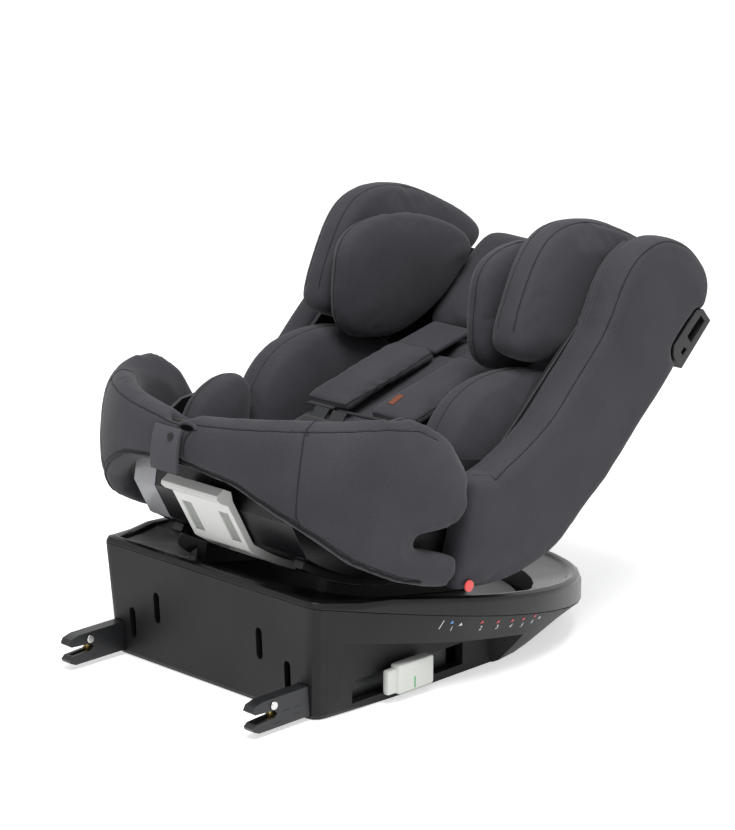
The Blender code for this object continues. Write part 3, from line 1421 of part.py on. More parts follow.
def make_buckle(recline, finishes, pad_foot):
    """Buckle in front of the child, on a crotch strap, with its push button and two tongues."""
    low = Vector((0, -100 * MM, 94 * MM))
    lean = BUCKLE_LEAN
    up = Vector((0, math.sin(lean), math.cos(lean)))
    out = Vector((0, -math.cos(lean), math.sin(lean)))

    def place(u, v, w):
        return low + Vector((u, 0, 0)) + up * v + out * w

    corners = [
        (-BUCKLE_HALF_WIDTH * 0.8, 0),
        (BUCKLE_HALF_WIDTH * 0.8, 0),
        (BUCKLE_HALF_WIDTH, BUCKLE_LENGTH),
        (-BUCKLE_HALF_WIDTH, BUCKLE_LENGTH),
    ]
    half = BUCKLE_THICKNESS / 2
    body_form = pillow(rounded(corners, 8 * MM), -half, half, place, 4 * MM)
    body = piece("buckle_body", body_form, finishes["buckle"], recline)
    button_middle = BUCKLE_LENGTH * 0.45

    def button_outline(grow):
        u, v = BUCKLE_BUTTON_HALF_WIDTH + grow, BUCKLE_BUTTON_LENGTH / 2 + grow
        low, high = button_middle - v, button_middle + v
        return [(-u, low), (u, low), (u, high), (-u, high)]

    well_floor = half - BUCKLE_BUTTON_TRAVEL - 5 * MM
    well = skin([[place(u, v, w) for u, v in button_outline(GAP)] for w in (well_floor, half + 10 * MM)])
    cut(body, piece("button_well_cutter", well, finishes["buckle"], recline))
    press = Axis("buckle_press", place(0, button_middle, half), recline)
    button_low = well_floor + BUCKLE_BUTTON_TRAVEL + GAP
    button = skin([[place(u, v, w) for u, v in button_outline(0)] for w in (button_low, half + 1.5 * MM)])
    piece("buckle_button", button, finishes["red"], press)
    for name, side in SIDES:
        u_low, u_high = sorted((side * 3 * MM, side * 23 * MM))
        v_low, v_high = BUCKLE_LENGTH + GAP, BUCKLE_LENGTH + TONGUE_LENGTH
        blade = [(u_low, v_low), (u_high, v_low), (u_high, v_high), (u_low, v_high)]
        tongue = skin([[place(u, v, w) for u, v in blade] for w in (-1.5 * MM, 1.5 * MM)])
        piece(f"buckle_tongue_{name}", tongue, finishes["chrome"], recline)
        start = place(0, BUCKLE_LENGTH + TONGUE_LENGTH + GAP, 0)
        pad_middle = PAD_INNER + PAD_WIDTH / 2
        end_y = pad_foot.y - 1.5 * MM
        shares = (0.08, 0.4, 0.7, 0.98)
        route = [(between(start.y, end_y, t), between(start.z, pad_foot.z, t)) for t in shares]

        def middle(share, side=side):
            return side * between(23 * MM, pad_middle, share)

        strap = ribbon(route, WEBBING_WIDTH, WEBBING_THICKNESS, middle)
        piece(f"lower_strap_{name}", strap, finishes["webbing"], recline)
    shell_height = lookup(sorted(shell_path()), -112 * MM)
    cushion_top = shell_height + CUSHION_FLOOR + SEAT_CUSHION_THICKNESS + CUSHION_CROWN
    foot_z = cushion_top + CUSHION_CLEARANCE
    end = place(0, -GAP, 0)
    route = [(between(-112 * MM, end.y, t), between(foot_z, end.z, t)) for t in (0, 0.5, 1)]
    strap = ribbon(route, WEBBING_WIDTH, WEBBING_THICKNESS, lambda share: 0)
    piece("crotch_strap", strap, finishes["webbing"], recline)


HEADREST_WING = (
    (34, 238),
    (27, 264),
    (33, 296),
    (44, 332),
    (60, 360),
    (84, 377),
    (116, 384),
    (152, 383),
    (188, 377),
    (226, 367),
    (260, 354),
    (280, 338),
    (270, 316),
    (240, 292),
    (212, 264),
    (184, 244),
    (150, 232),
    (90, 230),
)
HEAD_INSERT = (
    (26, 240),
    (19, 290),
    (22, 322),
    (46, 344),
    (84, 355),
    (130, 358),
    (176, 352),
    (216, 339),
    (232, 318),
    (216, 290),
    (193, 262),
    (163, 238),
    (128, 220),
    (90, 214),
    (48, 217),
)


def make_headrest(recline, finishes):
    """Headrest on the back: a plate, a centre pad, two wings, two head insert lobes and the pull handle."""
    plate_low = BACK_SKIN + SHELL_WALL + CUSHION_CLEARANCE + 1 * MM
    plate_high = plate_low + HEADREST_PLATE_THICKNESS
    slide = Axis("headrest_slide", back_point(0, HEADREST_PLATE_LOW, plate_low), recline)
    outer = PADDED_HALF_WIDTH
    corner = SHELL_CORNER + 4 * MM
    corners = [
        (-outer + corner, HEADREST_PLATE_LOW),
        (outer - corner, HEADREST_PLATE_LOW),
        (outer - corner, HEADREST_PLATE_HIGH),
        (-outer + corner, HEADREST_PLATE_HIGH),
    ]
    outline = rounded(corners, 24 * MM)
    rings = [[back_point(u, v, w) for u, v in outline] for w in (plate_low, plate_high)]
    piece("headrest_shell", skin(rings), finishes["shell"], slide)
    half = HEADREST_WING_INNER - 2 * CUSHION_CLEARANCE
    corners = [
        (-half, HEADREST_PLATE_LOW + 4 * MM),
        (half, HEADREST_PLATE_LOW + 4 * MM),
        (half, HEADREST_PAD_TOP),
        (-half, HEADREST_PAD_TOP),
    ]
    pad_low = plate_high + GAP
    pad_high = pad_low + HEADREST_PAD_THICKNESS
    pad = pillow(rounded(corners, 30 * MM), pad_low, pad_high, back_point, 6 * MM, 0, CUSHION_CROWN)
    piece("headrest_pad", pad, finishes["cover"], slide)
    for name, side in SIDES:

        def across(y, z, x, side=side):
            return Vector((side * x, y, z))

        curve = flow([(y * MM, z * MM) for y, z in HEADREST_WING], 2)
        wing = pillow(curve, HEADREST_WING_INNER, outer, across, 14 * MM)
        piece(f"headrest_wing_{name}", wing, finishes["cover"], slide)
        curve = flow([(y * MM, z * MM) for y, z in HEAD_INSERT], 2)
        lobe_high = HEAD_INSERT_INNER + HEAD_INSERT_THICKNESS
        lobe = pillow(curve, HEAD_INSERT_INNER, lobe_high, across, HEAD_INSERT_EDGE, CUSHION_CROWN, 0)
        piece(f"head_insert_{name}", lobe, finishes["cover"], slide)
    pull = Axis("headrest_handle_slide", back_point(0, HEADREST_PLATE_HIGH, plate_low), slide)
    low = HEADREST_PLATE_HIGH + GAP
    half = HEADREST_HANDLE_HALF_WIDTH
    high = low + HEADREST_HANDLE_HEIGHT
    corners = [(-half, low), (half, low), (half * 0.9, high), (-half * 0.9, high)]
    grip = pillow(rounded(corners, 6 * MM), plate_low, plate_high, back_point, 2 * MM)
    piece("headrest_handle", grip, finishes["lever"], pull)


def make_finishes():
    return {
        "base": finish("moulded_black_plastic", (52, 53, 55), 0.55),
        "lid": finish("satin_black_plastic", (46, 47, 49), 0.4),
        "bearing": finish("bearing_nylon", (208, 205, 196), 0.5),
        "steel": finish("black_steel", (38, 39, 41), 0.4, 0.8),
        "rivet": finish("zinc_plated_steel", (190, 190, 188), 0.3, 1.0),
        "hook": finish("brass_plated_steel", (176, 150, 84), 0.35, 1.0),
        "button": finish("off_white_plastic", (216, 218, 212), 0.45),
        "turntable": finish("turntable_plastic", (48, 49, 52), 0.5),
        "track": finish("slide_track_nylon", (60, 60, 63), 0.4),
        "shell": finish("shell_plastic", (40, 40, 43), 0.6),
        "keel": finish("keel_plastic", (74, 72, 80), 0.35),
        "lever": finish("light_grey_plastic", (196, 196, 192), 0.45),
        "cover": finish("charcoal_cover_fabric", (72, 71, 76), 0.85),
        "webbing": finish("black_webbing", (34, 34, 36), 0.8),
        "guide": finish("guide_plastic", (36, 36, 38), 0.45),
        "marker": finish("red_marker", (236, 78, 78), 0.4),
        "red": finish("red_button", (205, 40, 42), 0.4),
        "buckle": finish("buckle_plastic", (40, 40, 42), 0.4),
        "chrome": finish("chromed_steel", (200, 200, 202), 0.15, 1.0),
    }


def main():
    clear_scene()
    finishes = make_finishes()
    root = Axis("base_frame")
    deck = Axis("deck_frame")
    deck.empty.location = (0, 0, DECK_HEIGHT)
    deck.empty.rotation_euler = (-DECK_TILT, 0, 0)
    make_base(root, deck, finishes)
    for name, side in SIDES:
        make_anchor_arm(name, side, root, finishes)
        make_guide_rail(name, side, root, finishes["steel"])
    spin = make_turntable(deck, finishes)
    recline = Axis("recline_axis", (0, RECLINE_Y, RECLINE_Z), spin)
    make_shell(recline, finishes["shell"])
    make_keel(recline, finishes)
    for name, side in SIDES:
        make_side_cover(name, side, recline, finishes)
    make_front_cover(recline, finishes["cover"])
    make_adjuster(recline, finishes)
    make_cushions(recline, finishes["cover"])
    make_harness(recline, finishes)
    make_headrest(recline, finishes)


main()
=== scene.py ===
# %% [markdown]
# # A rotating convertible child car seat
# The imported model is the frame: every rigid and soft piece already has its place and size there.
# This lesson dresses it. Rigid mouldings get rounded edges and a moulded finish, padded pieces are
# blown up like real covers over foam, and the harness, seams and printed numbers are added.

# %% Load the frame
import json
import math

import bmesh
import bpy
import numpy as np
from mathutils import Matrix, Vector
from mathutils.kdtree import KDTree


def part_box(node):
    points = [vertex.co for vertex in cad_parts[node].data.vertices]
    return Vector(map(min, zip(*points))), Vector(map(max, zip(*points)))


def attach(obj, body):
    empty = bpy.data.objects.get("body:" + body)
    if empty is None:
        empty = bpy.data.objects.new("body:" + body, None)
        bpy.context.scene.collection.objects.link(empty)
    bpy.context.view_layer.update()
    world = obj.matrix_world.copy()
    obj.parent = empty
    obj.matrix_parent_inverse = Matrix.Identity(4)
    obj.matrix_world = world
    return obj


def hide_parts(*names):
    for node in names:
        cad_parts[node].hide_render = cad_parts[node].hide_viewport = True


MM = 0.001
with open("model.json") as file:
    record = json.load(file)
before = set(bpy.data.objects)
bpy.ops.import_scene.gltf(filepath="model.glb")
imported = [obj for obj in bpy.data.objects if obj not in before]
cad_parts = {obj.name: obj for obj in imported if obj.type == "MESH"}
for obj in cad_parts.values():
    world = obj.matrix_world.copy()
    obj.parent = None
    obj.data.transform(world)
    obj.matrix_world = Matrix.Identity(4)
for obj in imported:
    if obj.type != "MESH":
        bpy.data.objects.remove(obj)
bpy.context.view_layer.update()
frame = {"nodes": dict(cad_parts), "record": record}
cad = frame["nodes"]
record = frame["record"]
scene = bpy.context.scene
scene.view_settings.view_transform = "Standard"
body_of = {node: body for body, members in record["behaviour"]["bodies"].items() for node in members}

# %% [markdown]
# ## Camera
# The photo was taken with a long lens from the front corner, a little above the rim. The picture is
# 735 by 830, so the 36 mm of the sensor lie along its height.

# %% Camera
AZIMUTH = math.radians(44.6)
ELEVATION = math.radians(15.4)
DISTANCE = 3.1
TARGET = Vector((0.0901, -0.075, 0.2803))
FOCAL_MM = 131.2
SENSOR_MM = 36

lens = bpy.data.cameras.new("photo_camera")
lens.lens = FOCAL_MM
lens.sensor_width = SENSOR_MM
camera = bpy.data.objects.new("photo_camera", lens)
scene.collection.objects.link(camera)
towards_camera = Vector(
    (
        math.sin(AZIMUTH) * math.cos(ELEVATION),
        -math.cos(AZIMUTH) * math.cos(ELEVATION),
        math.sin(ELEVATION),
    )
)
camera.location = TARGET + DISTANCE * towards_camera
camera.rotation_euler = towards_camera.to_track_quat("Z", "Y").to_euler()
scene.camera = camera
print("camera at", [round(c, 3) for c in camera.location])

# %% [markdown]
# ## Studio
# A pale floor under a white surround. The surround lights the seat softly; rays that see it straight,
# in gloss or through glass find plain white. One broad lamp, above and on the camera's side, gives the
# tops their light and the floor its soft shadow.

# %% Node helper and colours
def srgb(code):
    """Linear colour with alpha from an sRGB hex value."""
    channels = [int(code[i : i + 2], 16) / 255 for i in (1, 3, 5)]
    return tuple(c / 12.92 if c <= 0.04045 else ((c + 0.055) / 1.055) ** 2.4 for c in channels) + (1.0,)


def add(tree, kind, inputs=None, **settings):
    """One node, with its settings, its fixed inputs and its links."""
    made = tree.nodes.new(kind)
    for name, value in settings.items():
        setattr(made, name, value)
    for name, value in (inputs or {}).items():
        if isinstance(value, bpy.types.NodeSocket):
            tree.links.new(value, made.inputs[name])
        else:
            made.inputs[name].default_value = value
    return made


# %% World
SURROUND = 0.5
WHITE = (1, 1, 1, 1)


def seen_straight(tree):
    """1 where a ray comes from the camera, from gloss or through glass, else 0."""
    path = add(tree, "ShaderNodeLightPath")
    share = path.outputs["Is Camera Ray"]
    for kind in ("Is Glossy Ray", "Is Transmission Ray"):
        either = {0: share, 1: path.outputs[kind]}
        share = add(tree, "ShaderNodeMath", either, operation="MAXIMUM").outputs[0]
    return share


world = bpy.data.worlds.new("white_surround")
world.use_nodes = True
scene.world = world
tree = world.node_tree
tree.nodes.clear()
soft_light = add(tree, "ShaderNodeBackground", {"Color": srgb("#f8f9fb"), "Strength": SURROUND})
white_view = add(tree, "ShaderNodeBackground", {"Color": WHITE, "Strength": 1.0})
views = {0: seen_straight(tree), 1: soft_light.outputs[0], 2: white_view.outputs[0]}
mixed = add(tree, "ShaderNodeMixShader", views)
add(tree, "ShaderNodeOutputWorld", {"Surface": mixed.outputs[0]})

# %% Lamp
LAMP_PLACE = Vector((0.7, -0.6, 2.3))
LAMP_AIM = Vector((0.0, 0.0, 0.3))
lamp = bpy.data.lights.new("top_softbox", "AREA")
lamp.shape = "DISK"
lamp.size = 1.4
lamp.energy = 52
softbox = bpy.data.objects.new("top_softbox", lamp)
scene.collection.objects.link(softbox)
softbox.location = LAMP_PLACE
softbox.rotation_euler = (LAMP_PLACE - LAMP_AIM).to_track_quat("Z", "Y").to_euler()

# %% Floor
FLOOR_SIZE = 14
FLOOR_LIFT = 0.55
FLOOR_GAP = 0.4 * MM
floor_form = bmesh.new()
bmesh.ops.create_grid(floor_form, x_segments=1, y_segments=1, size=FLOOR_SIZE)
bmesh.ops.translate(floor_form, verts=floor_form.verts, vec=(0, 0, -FLOOR_GAP))
floor_mesh = bpy.data.meshes.new("studio_floor")
floor_form.to_mesh(floor_mesh)
floor = bpy.data.objects.new("studio_floor", floor_mesh)
scene.collection.objects.link(floor)
paper = bpy.data.materials.new("white_paper_sweep")
paper.use_nodes = True
tree = paper.node_tree
matt = tree.nodes["Principled BSDF"]
matt.inputs["Base Color"].default_value = srgb("#fbfbfb")
matt.inputs["Roughness"].default_value = 0.9
lift = add(tree, "ShaderNodeMath", {0: seen_straight(tree), 1: FLOOR_LIFT}, operation="MULTIPLY")
glow = add(tree, "ShaderNodeEmission", {"Color": WHITE, "Strength": lift.outputs[0]})
both = add(tree, "ShaderNodeAddShader", {0: matt.outputs[0], 1: glow.outputs[0]})
tree.links.new(both.outputs[0], tree.nodes["Material Output"].inputs["Surface"])
floor_mesh.materials.append(paper)
print("studio ready")

# %% [markdown]
# ## Finishes
# Each finish starts from the real material and how its surface was made. Patterns are sized in
# millimetres on Object coordinates, because every piece keeps its place in its mesh.

# %% Material starter
def finish(name, roughness, metallic=0.0, ior=1.5):
    """A new material, its tree, its shader and its Object coordinates."""
    material = bpy.data.materials.new(name)
    material.use_nodes = True
    tree = material.node_tree
    shader = tree.nodes["Principled BSDF"]
    shader.inputs["Roughness"].default_value = roughness
    shader.inputs["Metallic"].default_value = metallic
    if not metallic:
        shader.inputs["IOR"].default_value = ior
    place = add(tree, "ShaderNodeTexCoord").outputs["Object"]
    return material, tree, shader, place


def per_metre(size_mm):
    """Texture scale for a pattern that repeats about every size_mm."""
    return 1 / (size_mm * MM)


def bands(size_mm):
    """Wave texture scale for bands size_mm apart."""
    return math.pi / (10 * size_mm * MM)


# %% [markdown]
# ### Cover cloth
# The covers are a brushed polyester jersey over foam: matt, slightly heathered, with a soft sheen at
# grazing angles. The loops are under a millimetre, so fibres and loops are drawn about 1.5 mm apart to
# show at all. A seam's nearness is stored on the mesh; the finish sinks and puckers the cloth along it
# and paints shade into the furrow there.

# %% Cover cloth
FIBRE_MM = 1.6
LOOP_MM = 1.5
HEATHER_MM = 70
PUCKER_MM = 11


def jersey(name, light, dark):
    material, tree, shader, place = finish(name, 0.85, ior=1.3)
    yarn = {"Vector": place, "Scale": per_metre(FIBRE_MM), "Detail": 3.0, "Roughness": 0.65}
    fibre = add(tree, "ShaderNodeTexNoise", yarn)
    heather = {"Vector": place, "Scale": per_metre(HEATHER_MM), "Detail": 2.0}
    cloud = add(tree, "ShaderNodeTexNoise", heather)
    knit = {"Vector": place, "Scale": per_metre(LOOP_MM), "Randomness": 0.75}
    loops = add(tree, "ShaderNodeTexVoronoi", knit)
    tones = {0: fibre.outputs["Fac"], 1: cloud.outputs["Fac"]}
    blend = add(tree, "ShaderNodeMath", tones, operation="ADD")
    spread = {"Value": blend.outputs[0], "From Min": 0.7, "From Max": 1.3}
    share = add(tree, "ShaderNodeMapRange", spread)
    dyes = {0: share.outputs[0], "A": srgb(dark), "B": srgb(light)}
    cloth = add(tree, "ShaderNodeMix", dyes, data_type="RGBA")
    seam = add(tree, "ShaderNodeAttribute", attribute_name="seam_near", attribute_type="GEOMETRY")
    furrow = {"Value": seam.outputs["Fac"], "From Min": 0.72, "From Max": 0.94}
    line = add(tree, "ShaderNodeMapRange", furrow)
    # Painted shade: along each seam's furrow the cloth colour is darkened toward near-black.
    shade = add(tree, "ShaderNodeMath", {0: line.outputs[0], 1: 0.25}, operation="MULTIPLY")
    shaded = {0: shade.outputs[0], "A": cloth.outputs["Result"], "B": srgb("#17171a")}
    sewn = add(tree, "ShaderNodeMix", shaded, data_type="RGBA")
    tree.links.new(sewn.outputs["Result"], shader.inputs["Base Color"])
    gathers = {"Vector": place, "Scale": per_metre(PUCKER_MM), "Detail": 1.0}
    ease = add(tree, "ShaderNodeTexNoise", gathers)
    drawn = {0: ease.outputs["Fac"], 1: seam.outputs["Fac"]}
    pull = add(tree, "ShaderNodeMath", drawn, operation="MULTIPLY")
    puckered = {"Height": pull.outputs[0], "Strength": 0.5, "Distance": 1.5 * MM}
    pucker = add(tree, "ShaderNodeBump", puckered)
    relief = {0: loops.outputs["Distance"], 1: fibre.outputs["Fac"]}
    grain = add(tree, "ShaderNodeMath", relief, operation="ADD")
    knitted = {"Height": grain.outputs[0], "Strength": 0.16, "Distance": 0.5 * MM}
    weave = add(tree, "ShaderNodeBump", {**knitted, "Normal": pucker.outputs[0]})
    sink = add(tree, "ShaderNodeMath", {0: 1.0, 1: line.outputs[0]}, operation="SUBTRACT")
    sunk = {"Height": sink.outputs[0], "Strength": 0.55, "Distance": 1.2 * MM}
    groove = add(tree, "ShaderNodeBump", {**sunk, "Normal": weave.outputs[0]})
    tree.links.new(groove.outputs[0], shader.inputs["Normal"])
    shader.inputs["Sheen Weight"].default_value = 0.12
    shader.inputs["Sheen Roughness"].default_value = 0.45
    return material


cover_cloth = jersey("brushed_polyester_jersey", "#424146", "#37363b")
inner_cloth = jersey("soft_polyester_jersey", "#403f44", "#353439")

# %% [markdown]
# ### Webbing
# Harness webbing is woven polyester, flat and tightly ribbed. Its ribs and cross threads are about a
# millimetre apart; they are drawn twice as coarse to show. The seam thread has the same finish, dyed black.

# %% Webbing
RIB_MM = 2.4
PICK_MM = 1.8


def webbing_finish(name, light, dark):
    material, tree, shader, place = finish(name, 0.75, ior=1.35)
    warp = {"Vector": place, "Scale": bands(RIB_MM), "Distortion": 0.6}
    ribs = add(tree, "ShaderNodeTexWave", warp, bands_direction="X")
    weft = {"Vector": place, "Scale": bands(PICK_MM), "Distortion": 0.4}
    picks = add(tree, "ShaderNodeTexWave", weft, bands_direction="Z")
    crossed = {0: ribs.outputs["Fac"], 1: picks.outputs["Fac"]}
    woven = add(tree, "ShaderNodeMath", crossed, operation="MULTIPLY")
    dyes = {0: woven.outputs[0], "A": srgb(dark), "B": srgb(light)}
    cloth = add(tree, "ShaderNodeMix", dyes, data_type="RGBA")
    tree.links.new(cloth.outputs["Result"], shader.inputs["Base Color"])
    ribbed = {"Height": woven.outputs[0], "Strength": 0.5, "Distance": 0.4 * MM}
    bump = add(tree, "ShaderNodeBump", ribbed)
    tree.links.new(bump.outputs[0], shader.inputs["Normal"])
    shader.inputs["Sheen Weight"].default_value = 0.05
    return material


harness_webbing = webbing_finish("woven_polyester_webbing", "#2c2c2f", "#161618")
grey_tape = webbing_finish("grey_polyester_tape", "#56555a", "#424146")
seam_thread = webbing_finish("black_seam_thread", "#17171a", "#0e0e10")

# %% [markdown]
# ### Plastics
# The base is moulded polypropylene with a fine spark-eroded grain; the lid is the same material off a
# smoother tool; the lever and buttons are ABS. The grain is drawn at 1 to 2 mm to show. A slow change in
# tone and roughness keeps a wide wall from looking like paint. The IOR of the blacks was lowered from 1.5
# until their gloss matched the photo.

# %% Plastics
PATCH_MM = 110
PATCH_ROUGHNESS = 0.06


def moulded(name, light, dark, roughness, grain_mm, grain_depth, ior=1.5):
    material, tree, shader, place = finish(name, roughness, ior=ior)
    tooled = {"Vector": place, "Scale": per_metre(grain_mm), "Detail": 4.0, "Roughness": 0.6}
    grain = add(tree, "ShaderNodeTexNoise", tooled)
    patches = {"Vector": place, "Scale": per_metre(PATCH_MM), "Detail": 3.0}
    cloud = add(tree, "ShaderNodeTexNoise", patches)
    tints = {0: cloud.outputs["Fac"], "A": srgb(dark), "B": srgb(light)}
    tone = add(tree, "ShaderNodeMix", tints, data_type="RGBA")
    tree.links.new(tone.outputs["Result"], shader.inputs["Base Color"])
    polish = {"Value": cloud.outputs["Fac"], "From Min": 0.3, "From Max": 0.7}
    polish |= {"To Min": roughness - PATCH_ROUGHNESS, "To Max": roughness + PATCH_ROUGHNESS}
    rough = add(tree, "ShaderNodeMapRange", polish)
    tree.links.new(rough.outputs[0], shader.inputs["Roughness"])
    eroded = {"Height": grain.outputs["Fac"], "Strength": grain_depth, "Distance": 0.25 * MM}
    bump = add(tree, "ShaderNodeBump", eroded)
    tree.links.new(bump.outputs[0], shader.inputs["Normal"])
    return material


housing_plastic = moulded("grained_polypropylene", "#161618", "#111113", 0.52, 1.0, 0.3, ior=1.34)
lid_plastic = moulded("satin_polypropylene", "#101012", "#0c0c0e", 0.3, 1.4, 0.12, ior=1.36)
dark_plastic = moulded("dark_moulded_nylon", "#1c1c1e", "#161618", 0.46, 1.2, 0.2)
shell_plastic = moulded("shell_polypropylene", "#1f1f22", "#19191b", 0.55, 1.2, 0.2)
keel_plastic = moulded("gloss_abs_keel", "#131215", "#0f0e11", 0.3, 2.0, 0.05, ior=1.36)
lever_plastic = moulded("light_grey_abs", "#eeeeea", "#e4e4e0", 0.36, 1.6, 0.08)
button_plastic = moulded("off_white_abs", "#e2e4de", "#d8dad4", 0.35, 1.6, 0.06)
bearing_plastic = moulded("natural_nylon", "#d4d1c8", "#c8c5bc", 0.5, 1.6, 0.1)
rubber = moulded("matt_black_rubber", "#0f0f10", "#0b0b0c", 0.8, 1.2, 0.3)
red_plastic = moulded("red_abs", "#ee5a58", "#e24c4b", 0.35, 1.6, 0.05)
release_red = moulded("buckle_red_abs", "#c8282c", "#b92226", 0.35, 1.6, 0.05)

# %% [markdown]
# ### Metals
# The arms are stamped steel under a thin black electro-coat. The hook is yellow-passivated steel and
# the rivet bright zinc. Fine rolling lines break up their gloss.

# %% Metals
ROLLING_MM = 0.9
ROLLING_STRETCH = (1.0, 0.12, 1.0)


def rolled_metal(name, light, dark, roughness, metallic):
    material, tree, shader, place = finish(name, roughness, metallic)
    stretched = add(tree, "ShaderNodeMapping", {"Vector": place, "Scale": ROLLING_STRETCH})
    rolled = {"Vector": stretched.outputs[0], "Scale": per_metre(ROLLING_MM), "Detail": 4.0}
    lines = add(tree, "ShaderNodeTexNoise", rolled)
    tints = {0: lines.outputs["Fac"], "A": srgb(dark), "B": srgb(light)}
    tone = add(tree, "ShaderNodeMix", tints, data_type="RGBA")
    tree.links.new(tone.outputs["Result"], shader.inputs["Base Color"])
    polish = {"Value": lines.outputs["Fac"], "To Min": roughness - 0.08, "To Max": roughness + 0.1}
    rough = add(tree, "ShaderNodeMapRange", polish)
    tree.links.new(rough.outputs[0], shader.inputs["Roughness"])
    return material


coated_steel = rolled_metal("black_coated_steel", "#2c2d2f", "#1d1e20", 0.38, 0.35)
zinc_steel = rolled_metal("zinc_plated_steel", "#d2d2d0", "#b4b4b2", 0.26, 1.0)
brass_steel = rolled_metal("yellow_passivated_steel", "#d0b878", "#a98f4e", 0.3, 1.0)
print(len(bpy.data.materials), "materials")

# %% [markdown]
# ## Rigid mouldings
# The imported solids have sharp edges. A moulding never does: its tool is rounded so that it fills and
# releases. Each rigid piece is copied from its solid, its flat faces are joined again, and its sharp
# edges are bevelled, so that they catch a line of light.

# %% Copy of a solid
WELD = 0.02 * MM
SMOOTH_ANGLE = 40
ALL_SMOOTH = 180


def copy_of(node):
    """The solid's mesh as one connected surface."""
    form = bmesh.new()
    form.from_mesh(cad[node].data)
    bmesh.ops.remove_doubles(form, verts=form.verts, dist=WELD)
    return form


def place_piece(name, form, material, smooth_angle=SMOOTH_ANGLE):
    """A finished piece from a form, which is used up."""
    mesh = bpy.data.meshes.new(name)
    form.to_mesh(mesh)
    form.free()
    mesh.materials.append(material)
    mesh.shade_smooth()
    mesh.set_sharp_from_angle(angle=math.radians(smooth_angle))
    piece = bpy.data.objects.new(name, mesh)
    scene.collection.objects.link(piece)
    return piece


def stand_for(piece, node):
    """Let a piece take a solid's place and body."""
    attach(piece, body_of[node])
    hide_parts(node)


# %% Rounded copies of the rigid solids
FLAT_ANGLE = math.radians(0.6)
MOULD_ANGLE = 28


def sharp_edges(form, degrees):
    """The edges between two faces that meet at more than an angle."""
    limit = math.radians(degrees)
    return [e for e in form.edges if len(e.link_faces) == 2 and e.calc_face_angle() > limit]


def round_edges(form, edges, radius_mm, segments=2):
    bmesh.ops.bevel(
        form,
        geom=edges,
        offset=radius_mm * MM,
        segments=segments,
        profile=0.5,
        affect="EDGES",
        material=-1,
        clamp_overlap=True,
    )


def mould(node, material, edge_mm):
    """A rigid solid with its flat faces joined and its sharp edges rounded."""
    form = copy_of(node)
    bmesh.ops.dissolve_limit(
        form,
        angle_limit=FLAT_ANGLE,
        verts=form.verts,
        edges=form.edges,
        use_dissolve_boundaries=False,
    )
    round_edges(form, sharp_edges(form, MOULD_ANGLE), edge_mm)
    piece = place_piece(f"{node}_moulding", form, material)
    even = piece.modifiers.new("even_shading", "WEIGHTED_NORMAL")
    even.keep_sharp = True
    stand_for(piece, node)
    return piece


SIDES = ("left", "right")
# Each rigid piece has its finish and the radius of its edges in millimetres.
RIGID = {
    "base_housing": (housing_plastic, 1.2),
    "base_lid": (lid_plastic, 1.0),
    "bearing_ring": (bearing_plastic, 0.8),
    "turntable": (dark_plastic, 0.8),
    "turntable_retainer": (coated_steel, 0.5),
    "turntable_pivot_bolt": (zinc_steel, 0.5),
    "seat_shell": (shell_plastic, 0.8),
    "keel": (keel_plastic, 0.8),
    "recline_lever": (lever_plastic, 0.9),
    "lever_pin": (zinc_steel, 0.3),
    "adjuster_housing": (dark_plastic, 0.5),
    "adjuster_button": (rubber, 0.3),
    "buckle_body": (dark_plastic, 0.6),
    "buckle_button": (release_red, 0.8),
    "headrest_shell": (shell_plastic, 0.8),
    "headrest_handle": (lever_plastic, 0.5),
}
PAIRED_RIGID = {
    "guide_rail": (coated_steel, 0.4),
    "anchor_arm": (coated_steel, 0.7),
    "anchor_hook": (brass_steel, 0.4),
    "anchor_rivet": (zinc_steel, 0.25),
    "release_button": (button_plastic, 0.5),
    "recline_track": (dark_plastic, 0.6),
    "recline_runner": (dark_plastic, 0.6),
    "belt_guide": (dark_plastic, 0.8),
    "recline_marker": (red_plastic, 0.3),
    "buckle_tongue": (coated_steel, 0.5),
}
for kind, look in PAIRED_RIGID.items():
    for side in SIDES:
        RIGID[f"{kind}_{side}"] = look
mouldings = {node: mould(node, *look) for node, look in RIGID.items()}
print(len(mouldings), "mouldings,", sum(len(p.data.polygons) for p in mouldings.values()), "faces")

# %% [markdown]
# ## Padded covers
# Each padded piece is foam under a stretched cover. Its solid is remeshed into an even skin, smoothed,
# and blown up a little by a cloth simulation with pressure inside, which rounds it as tight fabric
# does. A pair is made once, for the right side, and mirrored.

# %% Even skin from a solid
VOXEL = 4.5 * MM


def even_skin(node, relax):
    """An even, relaxed skin in the place of a padded solid."""
    form = copy_of(node)
    rough = place_piece(f"{node}_start", form, cover_cloth)
    remesh = rough.modifiers.new("even_skin", "REMESH")
    remesh.mode = "VOXEL"
    remesh.voxel_size = VOXEL
    graph = bpy.context.evaluated_depsgraph_get()
    mesh = bpy.data.meshes.new_from_object(rough.evaluated_get(graph))
    bpy.data.objects.remove(rough)
    form = bmesh.new()
    form.from_mesh(mesh)
    bpy.data.meshes.remove(mesh)
    for _ in range(relax):
        bmesh.ops.smooth_vert(
            form, verts=form.verts, factor=0.5, use_axis_x=True, use_axis_y=True, use_axis_z=True
        )
    return form


# %% Blow up the covers
FRAMES = 20


